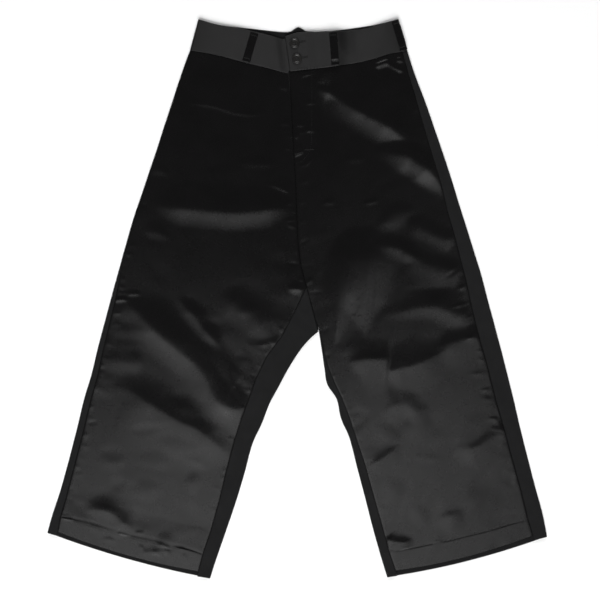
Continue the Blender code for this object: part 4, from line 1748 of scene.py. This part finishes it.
@dataclass
class Waistband:
    """One piece of the waistband: a folded strip, rounded along both edges.

    columns gives its fine columns, each as the x on its lower edge and the height of its outside.
    """

    name: str
    node: str
    table: Sequence[BandSection]
    columns: Sequence[Plan]
    flat: Plan
    rests_on: str
    flip: bool = True
    creases: Sequence[Crease] = ()
    hidden_loops: Sequence[BeltLoop] = ()
    wall: float = 1.9
    row_step: float = 2.0

    EDGE_ROWS = (0.0, 0.4, 1.0, 2.0)
    ROLL = (0.35, 0.6)
    LOOP_ROOM = 1.0
    DENT_EASE = 5.0

    def edges(self, xs: Array) -> tuple[Array, Array]:
        """Places both edges of the piece.

        Args:
            xs: Each column's x on the lower edge.

        Returns:
            The lower and the upper end of each column, as x and y.
        """
        lowers, uppers = np.array(sorted((row.lower_x, row.upper_x) for row in self.table)).T
        upper_x = np.interp(xs, lowers, uppers)
        past_low = (uppers[1] - uppers[0]) / (lowers[1] - lowers[0])
        past_high = (uppers[-1] - uppers[-2]) / (lowers[-1] - lowers[-2])
        upper_x = np.where(xs < lowers[0], uppers[0] + (xs - lowers[0]) * past_low, upper_x)
        upper_x = np.where(xs > lowers[-1], uppers[-1] + (xs - lowers[-1]) * past_high, upper_x)
        low = np.column_stack((xs, band_edge(self.table, Edge.LOWER, xs)))
        return low, np.column_stack((upper_x, band_edge(self.table, Edge.UPPER, upper_x)))

    def build(self) -> Piece:
        """Builds and dresses the piece.

        Returns:
            The piece.
        """
        xs, heights = np.array(self.columns).T
        low, high = self.edges(xs)
        tall = float(np.mean(np.linalg.norm(high - low, axis=1)))
        first = self.EDGE_ROWS[-1]
        level = tall - 2 * first
        count = round(level / self.row_step)
        places = [*self.EDGE_ROWS, *(first + level * k / count for k in range(1, count))]
        places += [tall - place for place in self.EDGE_ROWS[::-1]]
        along = lengths_before(np.abs(np.diff(xs)))
        up = 1.0 if heights[len(heights) // 2] > BAND_HALF else -1.0
        rows, weave = [], []
        for place in places:
            plan = low + (high - low) * (place / tall)
            lift = Lie.gather(self.creases, plan[:, 0], plan[:, 1])
            lift += np.where(heights == 0, self.dent(plan[:, 0], place / tall), 0.0)
            roll = edge_roll(min(place, tall - place), *self.ROLL)
            rows.append(np.column_stack((plan, heights + lift - up * roll)))
            weave.append(np.column_stack((np.full(len(xs), place), along)) * MM)
        piece = mesh_from_rows(self.name, rows, weave, self.flip)
        thicken(piece, self.wall)
        dress(piece, "satin", BAND_SATIN, BAND_LINING)
        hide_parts(self.node)
        return piece

    def dent(self, x: Array, share: float) -> Array:
        """How high the underside stands over the hidden loops.

        Args:
            x: Places along the band.
            share: How far up the band they are.

        Returns:
            The heights.
        """
        height = np.zeros_like(x)
        for loop in self.hidden_loops:
            middle = loop.lower_x + (loop.upper_x - loop.lower_x) * share
            away = np.abs(x - middle) - LOOP_WIDTH / 2 - self.LOOP_ROOM
            risen = (LOOP_WALL + SEAM_GAP) * (1 - smooth_step(away / self.DENT_EASE))
            height = np.maximum(height, risen)
        return height


def fold_columns(edge: float, way: float, up: float) -> list[Plan]:
    """Places a waistband's columns on one quarter of its fold's round.

    Args:
        edge: The x of the fold's outermost point.
        way: The way in from there: 1 or -1 along x.
        up: 1 over the fold and -1 under it.

    Returns:
        Each column's x on the lower edge and its outside's height.
    """
    quarter = BAND_HALF * QUARTER
    found = []
    for k in range(FOLD_COLUMNS + 1):
        turn = (SEAM_GAP / 2 + (quarter - SEAM_GAP / 2) * k / FOLD_COLUMNS) / BAND_HALF
        x = edge + way * BAND_HALF * (1 - math.cos(turn))
        found.append((x, BAND_HALF * (1 + up * math.sin(turn))))
    return found


def front_columns(side: Side, table: Sequence[BandSection], bends: Plan, top: float) -> list[Plan]:
    """Places a front waistband's columns, from the side fold to its free end.

    Args:
        side: The wearer's side.
        table: The waistband.
        bends: Where it bends to the height of its free end.
        top: That height.

    Returns:
        Each column's x on the lower edge and its outside's height.
    """
    columns = fold_columns(table[0].lower_x, -side.value, 1.0)
    start, end = columns[-1][0], table[-1].lower_x
    count = round(abs(end - start) / COLUMN_STEP)
    for k in range(1, count + 1):
        x = start + (end - start) * k / count
        share = float(smooth_step((x - bends[0]) / (bends[1] - bends[0])))
        columns.append((x, 2 * BAND_HALF + (top - 2 * BAND_HALF) * share))
    return columns


def back_columns() -> list[Plan]:
    """Places the back waistband's columns, round both folds and along the floor.

    Returns:
        Each column's x on the lower edge and its outside's height.
    """
    first = fold_columns(BAND_BACK[0].lower_x, 1.0, -1.0)
    last = fold_columns(BAND_BACK[-1].lower_x, -1.0, -1.0)
    start, end = first[-1][0], last[-1][0]
    count = round((end - start) / FLOOR_STEP)
    middle = [(start + (end - start) * k / count, 0.0) for k in range(1, count)]
    return first + middle + last[::-1]


WAISTBANDS = (
    Waistband(
        "satin_band_back",
        "waistband_back",
        BAND_BACK,
        back_columns(),
        flat=(0.07, 0.4),
        rests_on="floor",
        hidden_loops=[loop for loop in LOOPS if loop.place is HIDDEN],
    ),
    Waistband(
        "satin_band_right",
        "waistband_right",
        BAND_RIGHT,
        front_columns(Side.RIGHT, BAND_RIGHT, UNDERLAP_BENDS, UNDERLAP_TOP),
        flat=(0.062, 0.215),
        rests_on="satin_band_back",
        flip=False,
    ),
    Waistband(
        "satin_band_left",
        "waistband_left",
        BAND_LEFT,
        front_columns(Side.LEFT, BAND_LEFT, OVERLAP_BENDS, OVERLAP_TOP),
        flat=(0.062, 0.22),
        rests_on="satin_band_back",
        creases=BAND_LEFT_CREASES,
    ),
)


# Buttons and sewing


class Cast:
    """Finds places on finished cloth from straight above or straight below."""

    def __init__(self, pieces: Sequence[Piece], above: bool = True) -> None:
        """Takes the cloth.

        Args:
            pieces: The pieces of cloth.
            above: Whether they are looked for from above.
        """
        bpy.context.view_layer.update()
        graph = bpy.context.evaluated_depsgraph_get()
        self.up = 1.0 if above else -1.0
        self.trees = [BVHTree.FromObject(piece, graph) for piece in pieces]

    def place(self, x: float, y: float) -> Array | None:
        """Finds the first cloth met.

        Args:
            x: Where, in millimetres.
            y: The same place's y.

        Returns:
            The place on the cloth, or None where there is none.
        """
        start = Vector((x * MM, y * MM, self.up))
        way = Vector((0.0, 0.0, -self.up))
        hits = [hit for hit in (tree.ray_cast(start, way) for tree in self.trees) if hit[0] is not None]
        if not hits:
            return None
        return np.array(min(hits, key=lambda hit: hit[3])[0]) / MM


@dataclass(frozen=True)
class Thread:
    """Sewing thread: its radius, and the length of its stitches and of the gaps between them."""

    radius: float = 0.21
    length: float = 2.4
    gap: float = 0.9
    sides: int = 6

    # A stitch's rings: how far along it, and their share of its radius.
    RINGS = (
        (0.0, 0.4), (0.06, 0.85), (0.25, 1.0), (0.5, 1.0), (0.75, 1.0), (0.94, 0.85), (1.0, 0.4),
    )
    # How uneven stitches are in length and place, and the highest step under one.
    UNEVEN_LENGTH = 0.15
    UNEVEN_PLACE = 0.08
    HIGHEST_STEP = 0.8
    SEAM_RISE = 0.9
    # A bar's stitches: distance and lean in radii, and rise above and below.
    BAR_STEP = 1.9
    BAR_LEAN = 0.8
    BAR_RISES = (0.4, -0.1)
    BAR_DIP = 0.05

    def stitch(self, start: Array, end: Array, rise: float, dip: float) -> Shape:
        """One stitch, which rises off the cloth and dips into it at both ends.

        Args:
            start: Where it comes up.
            end: Where it goes down.
            rise: How far its middle stands up; below 0 it stands down.
            dip: How far its ends lie below start and end.

        Returns:
            The stitch's shape.
        """
        way = unit(end - start)
        up = np.array((0.0, 0.0, math.copysign(1.0, rise)))
        aside = unit(np.cross(way, up))
        over = np.cross(aside, way)
        turns = np.arange(self.sides) * 2 * math.pi / self.sides
        circle = np.cos(turns)[:, None] * aside + np.sin(turns)[:, None] * over
        rings = []
        for share, wide in self.RINGS:
            arch = math.sin(math.pi * share) ** 0.5
            high = abs(rise) * arch - dip * (1 - arch)
            rings.append(start + (end - start) * share + up * high + circle * self.radius * wide)
        last = (len(rings) - 1) * self.sides
        faces = [tuple(range(self.sides))[::-1], *ring_faces(len(rings), self.sides)]
        faces.append(tuple(range(last, last + self.sides)))
        return np.concatenate(rings), faces

    def seam(self, cast: Cast, line: Sequence[Plan], seed: int) -> list[Shape]:
        """Sews along a line, wherever there is cloth.

        Args:
            cast: The cloth.
            line: The line's points.
            seed: Sets the slight unevenness.

        Returns:
            The stitches.
        """
        rng = random.Random(seed)
        points = smooth_path(line)
        before = lengths_before(np.linalg.norm(np.diff(points, axis=0), axis=1))
        longer, aside = self.UNEVEN_LENGTH, self.UNEVEN_PLACE
        found = []
        place = self.gap
        while place + self.length < before[-1]:
            ends = []
            for at in (place, place + self.length + rng.uniform(-longer, longer)):
                x = float(np.interp(at, before, points[:, 0])) + rng.uniform(-aside, aside)
                y = float(np.interp(at, before, points[:, 1])) + rng.uniform(-aside, aside)
                ends.append(cast.place(x, y))
            on_cloth = all(end is not None for end in ends)
            if on_cloth and abs(ends[0][2] - ends[1][2]) < self.HIGHEST_STEP:
                found.append(self.stitch(*ends, cast.up * self.radius * self.SEAM_RISE, self.radius))
            place += self.length + self.gap
        return found

    def bar(self, cast: Cast, start: Plan, end: Plan, tall: float) -> list[Shape]:
        """Sews a bar of close stitches that lie across the way from start to end.

        Args:
            cast: The cloth.
            start: The middle of the bar's first end.
            end: The middle of its last end.
            tall: How long its stitches are.

        Returns:
            The stitches.
        """
        first, last = np.array(start, float), np.array(end, float)
        length = float(np.linalg.norm(last - first))
        way = (last - first) / length
        across = np.array((-way[1], way[0])) * tall / 2
        count = max(2, round(length / (self.radius * self.BAR_STEP)))
        rise = self.BAR_RISES[0] if cast.up > 0 else self.BAR_RISES[1]
        found = []
        for k in range(count):
            middle = first + (last - first) * k / (count - 1)
            lean = way * self.radius * (self.BAR_LEAN if k % 2 else -self.BAR_LEAN)
            ground = cast.place(*middle)
            if ground is None:
                continue
            ends = [np.append(middle + side * (across + lean), ground[2]) for side in (-1.0, 1.0)]
            found.append(self.stitch(*ends, rise, self.BAR_DIP))
        return found


@dataclass(frozen=True)
class Button:
    """A button turned from horn, with a raised rim and four holes, sewn on with thread."""

    name: str
    node: str
    x: float
    y: float
    level: float = OVERLAP_TOP + SEAM_GAP
    steps: int = 64
    hole_off: float = 1.6
    hole_radius: float = 0.85
    hole_depth: float = 1.3
    hole_edge: float = 0.22

    # The profile over the top and the edge, as radius and height.
    TOP = (
        (0, 2.2), (3, 2.2), (5.2, 2.3), (6.6, 2.95), (7.4, 3.0), (8.1, 2.9), (8.8, 2.5), (9.0, 2.0),
    )
    EDGE = (
        (9.0, 1.5), (8.9, 1.1), (8.6, 0.7), (8.1, 0.25), (7.6, 0.0), (4.0, 0.0), (0.05, 0.0),
    )
    # The top's first ring, the end of its closer ones, its last, and their distances.
    RING_PLACES = (0.2, 5.2, 9.0)
    RING_STEPS = (0.22, 0.3)
    # Every ring above this height belongs to the top.
    SIDE_HEIGHT = 1.6
    # The thread's strands off each hole's middle, its height, rise and dip.
    STRANDS = (-0.38, 0.0, 0.38)
    THREAD_LEVEL = 2.15
    THREAD_ARCH = (0.45, 0.7)

    def build(self) -> Piece:
        """Builds and dresses the button.

        Returns:
            The piece.
        """
        first, closer, last = self.RING_PLACES
        inner = np.arange(first, closer, self.RING_STEPS[0])
        outer = np.arange(closer, last, self.RING_STEPS[1])
        radii = np.unique(np.concatenate((inner, outer, [last])))
        profile = [(float(radius), float(curve_through(self.TOP, np.array(radius)))) for radius in radii]
        turns = np.arange(self.steps) * 2 * math.pi / self.steps
        rings = []
        for radius, height in (*profile, *self.EDGE):
            x, y = radius * np.cos(turns), radius * np.sin(turns)
            sunk = np.zeros(self.steps)
            if height > self.SIDE_HEIGHT:
                away = np.hypot(np.abs(x) - self.hole_off, np.abs(y) - self.hole_off)
                sunk = self.hole_depth * smooth_step((self.hole_radius - away) / self.hole_edge + 0.5)
            rings.append(np.column_stack((self.x + x, self.y + y, self.level + height - sunk)))
        middle = np.array([[self.x, self.y, self.level + self.TOP[0][1]]])
        faces = [(0, 1 + side, 1 + (side + 1) % self.steps) for side in range(self.steps)]
        between = ring_faces(len(rings), self.steps, 1)
        faces += [(low, high, after_high, after) for low, after, after_high, high in between]
        last_ring = 1 + (len(rings) - 1) * self.steps
        faces.append(tuple(range(last_ring + self.steps - 1, last_ring - 1, -1)))
        piece = joined_mesh(self.name, [(np.concatenate((middle, *rings)), faces)])
        dress(piece, "button", HORN)
        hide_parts(self.node)
        return piece

    def threads(self, thread: Thread) -> list[Shape]:
        """Sews the button on, from hole to hole.

        Args:
            thread: The thread.

        Returns:
            The strands.
        """
        found = []
        for row in (-1.0, 1.0):
            for strand in self.STRANDS:
                y, z = self.y + row * self.hole_off + strand, self.level + self.THREAD_LEVEL
                ends = [np.array((self.x + side * self.hole_off, y, z)) for side in (-1.0, 1.0)]
                found.append(thread.stitch(*ends, *self.THREAD_ARCH))
        return found


BUTTONS = (
    Button("horn_button_top", "button_top", -5.0, 458.5),
    Button("horn_button_bottom", "button_bottom", -0.5, 430.5),
)


@dataclass
class Sewing:
    """All the stitches that show, each group its own piece."""

    thread: Thread
    button_radius: float = 0.24
    fly_tack: float = 2.0
    loop_tack: float = 1.7
    hole_bar: float = 1.5
    hole_end_bar: float = 1.2

    FLY_LINE = (
        (26.0, 408.0), (26.0, 340.0), (25.5, 282.0), (22.0, 266.0), (14.0, 253.0), (4.0, 245.0),
        (-6.0, 241.5),
    )
    FLY_TACKS = (
        ((-4.5, 259.5), (10.5, 263.0)),
        ((13.5, 267.5), (30.0, 268.0)),
    )
    BAND_TICKS = ((-2.0, 413.5), (12.0, 415.5), (46.0, 419.0))
    # How far a loop's tacks reach aside, on the fold and elsewhere.
    FOLD_TACK = (-7.5, 2.0)
    FLAT_TACK = (-5.2, 5.2)
    # A buttonhole's start off the button's middle, its way, and its sides and end bar.
    HOLE_START = (-1.0, 0.6)
    HOLE_WAY = (20.0, 3.2)
    HOLE_SIDE = 1.05
    HOLE_END = 1.6

    def finish(self, name: str, shapes: list[Shape]) -> None:
        """Makes one piece of a group of stitches."""
        dress(joined_mesh(name, shapes), "satin", THREAD)
        log.info("sewed %s with %d stitches", name, len(shapes))

    def hems(self, sides: Sequence[tuple[Laid, Piece, Piece]]) -> None:
        """Sews down the turned-up hems, on the front and on the hidden side.

        Args:
            sides: Each side's lie, front and back.
        """
        found: list[Shape] = []
        for laid, front, back in sides:
            line = laid.across(HEM_SEAM)
            found += self.thread.seam(Cast([front, back]), line, seed=5)
            found += self.thread.seam(Cast([back], above=False), line, seed=6)
        self.finish("hem_stitches", found)

    def fly(self, fronts: Sequence[Piece], bands: Sequence[Piece]) -> None:
        """Sews the fly's curve and its bar tacks, and the visible stitches at the waistband's lower edge.

        Args:
            fronts: Both fronts.
            bands: The waistband's pieces.
        """
        cloth = Cast(fronts)
        found = self.thread.seam(cloth, self.FLY_LINE, seed=7)
        for start, end in self.FLY_TACKS:
            found += self.thread.bar(cloth, start, end, self.fly_tack)
        found += self.thread.seam(Cast(bands), self.BAND_TICKS, seed=8)
        self.finish("fly_stitches", found)

    def loops(self, loops: Sequence[tuple[BeltLoop, Piece]]) -> None:
        """Tacks the belt loops down near both ends.

        Args:
            loops: Each loop and its piece.
        """
        found: list[Shape] = []
        for loop, piece in loops:
            cloth = Cast([piece], loop.place is not HIDDEN)
            low, high = np.array((loop.lower_x, loop.lower_y)), np.array((loop.upper_x, loop.upper_y))
            way = unit(high - low)
            aside = np.array((way[1], -way[0]))
            left, right = self.FOLD_TACK if loop.place is FOLD else self.FLAT_TACK
            for middle in (low + way * loop.tack, high - way * loop.tack):
                found += self.thread.bar(cloth, middle + aside * left, middle + aside * right, self.loop_tack)
        self.finish("loop_tacks", found)

    def buttonholes(self, buttons: Sequence[Button], band: Piece) -> None:
        """Sews round the buttonholes, which run from under each button towards the left.

        Args:
            buttons: The buttons.
            band: The piece of the waistband that has the buttonholes.
        """
        cloth = Cast([band])
        found: list[Shape] = []
        for button in buttons:
            start = np.array((button.x + self.HOLE_START[0], button.y + self.HOLE_START[1]))
            end = start + np.array(self.HOLE_WAY)
            across = unit(np.array((start[1] - end[1], end[0] - start[0])))
            for off in (-across * self.HOLE_SIDE, across * self.HOLE_SIDE):
                found += self.thread.bar(cloth, start + off, end + off, self.hole_bar)
            past = across * self.HOLE_END
            found += self.thread.bar(cloth, end - past, end + past, self.hole_end_bar)
        self.finish("buttonhole_stitches", found)

    def buttons(self, buttons: Sequence[Button]) -> None:
        """Sews the buttons on."""
        thicker = replace(self.thread, radius=self.button_radius)
        self.finish("button_threads", [shape for button in buttons for shape in button.threads(thicker)])


# Scene


@dataclass(frozen=True)
class Softbox:
    """A soft studio light: where it stands, where it points, its turn in degrees, its size and its power."""

    name: str
    place: tuple[float, float, float]
    target: tuple[float, float, float]
    turn: float
    width: float
    length: float
    watts: float

    def build(self) -> None:
        """Adds the light to the scene."""
        data = bpy.data.lights.new(self.name, "AREA")
        data.shape = "RECTANGLE"
        data.size = self.width
        data.size_y = self.length
        data.energy = self.watts
        light = add_object(self.name, data)
        light.location = self.place
        aim = Vector(self.target) - Vector(self.place)
        light.rotation_euler = aim.to_track_quat("-Z", "Y").to_euler()
        light.rotation_euler.rotate_axis("Z", math.radians(self.turn))


@dataclass(frozen=True)
class Daylight:
    """Even light from far off: its bearing, height above the horizon and spread in degrees."""

    name: str
    azimuth: float
    elevation: float
    spread: float
    strength: float

    def build(self) -> None:
        """Adds the light to the scene."""
        data = bpy.data.lights.new(self.name, "SUN")
        data.angle = math.radians(self.spread)
        data.energy = self.strength
        turn, rise = math.radians(self.azimuth), math.radians(self.elevation)
        flat = math.cos(rise)
        source = Vector((math.sin(turn) * flat, math.cos(turn) * flat, math.sin(rise)))
        add_object(self.name, data).rotation_euler = (-source).to_track_quat("-Z", "Y").to_euler()


LIGHTS = (
    Softbox("overhead", (-0.50, -1.19, 2.5), (-0.50, -1.13, 0.0), 20.0, 2.4, 1.3, 39.5),
    Daylight("front", 180.0, 42.0, 40.0, 2.6),
    Daylight("back", 0.0, 28.0, 40.0, 1.9),
)


@dataclass
class Studio:
    """The floor, the lights and the camera straight above."""

    lens: float = 85.0
    frame_width: float = 1.08
    centre: Plan = (0.0049, -0.0023)
    floor_size: float = 60.0
    floor_level: float = -0.0004
    world: float = 0.02

    def build(self) -> None:
        """Adds everything that isn't part of the trousers."""
        reach, level = self.floor_size / 2, self.floor_level
        plan = ((-1, -1), (1, -1), (1, 1), (-1, 1))
        corners = [(x * reach, y * reach, level) for x, y in plan]
        mesh = bpy.data.meshes.new("floor")
        mesh.from_pydata(corners, [], [(0, 1, 2, 3)])
        mesh.materials.append(FLOOR.material())
        add_object("floor", mesh)
        for light in LIGHTS:
            light.build()
        scene = bpy.context.scene
        scene.world = bpy.data.worlds.new("studio")
        scene.world.use_nodes = True
        background = scene.world.node_tree.nodes["Background"]
        background.inputs["Color"].default_value = (1.0, 1.0, 1.0, 1.0)
        background.inputs["Strength"].default_value = self.world
        data = bpy.data.cameras.new("camera")
        data.lens = self.lens
        scene.camera = add_object("camera", data)
        scene.camera.location = (*self.centre, self.frame_width * self.lens / data.sensor_width)
        scene.view_settings.view_transform = "Standard"


def reported(piece: Piece) -> Piece:
    """Reports a finished piece and gives it back."""
    log.info("built %s with %d faces", piece.name, len(piece.data.polygons))
    return piece


def main() -> None:
    """Builds the trousers and the studio."""
    logging.basicConfig(level=logging.INFO, format="%(message)s")
    lie = Lie([*CREASES, *(crease for row in (*PUCKER_ROWS, *FRONT_RIPPLES) for crease in row.creases())])
    under = Lie([*BACK_CREASES, *(crease for row in BACK_RIPPLES for crease in row.creases())])
    sides = []
    for side, table, band in ((Side.RIGHT, RIGHT_SIDE, BAND_RIGHT), (Side.LEFT, LEFT_SIDE, BAND_LEFT)):
        laid = Laid(side, table, FINE_PLACES)
        back = reported(BackPanel(laid, lie, band, under=under).build())
        front = reported(FrontPanel(laid, lie, band).build())
        sides.append((laid, front, back))
    bands = [reported(band.build()) for band in WAISTBANDS]
    loops = [(loop, reported(loop.build())) for loop in LOOPS]
    for button in BUTTONS:
        reported(button.build())
    sewing = Sewing(Thread())
    sewing.hems(sides)
    sewing.fly([front for _, front, _ in sides], bands)
    sewing.loops(loops)
    sewing.buttonholes(BUTTONS, bands[-1])
    sewing.buttons(BUTTONS)
    Studio().build()


if __name__ == "__main__":
    main()
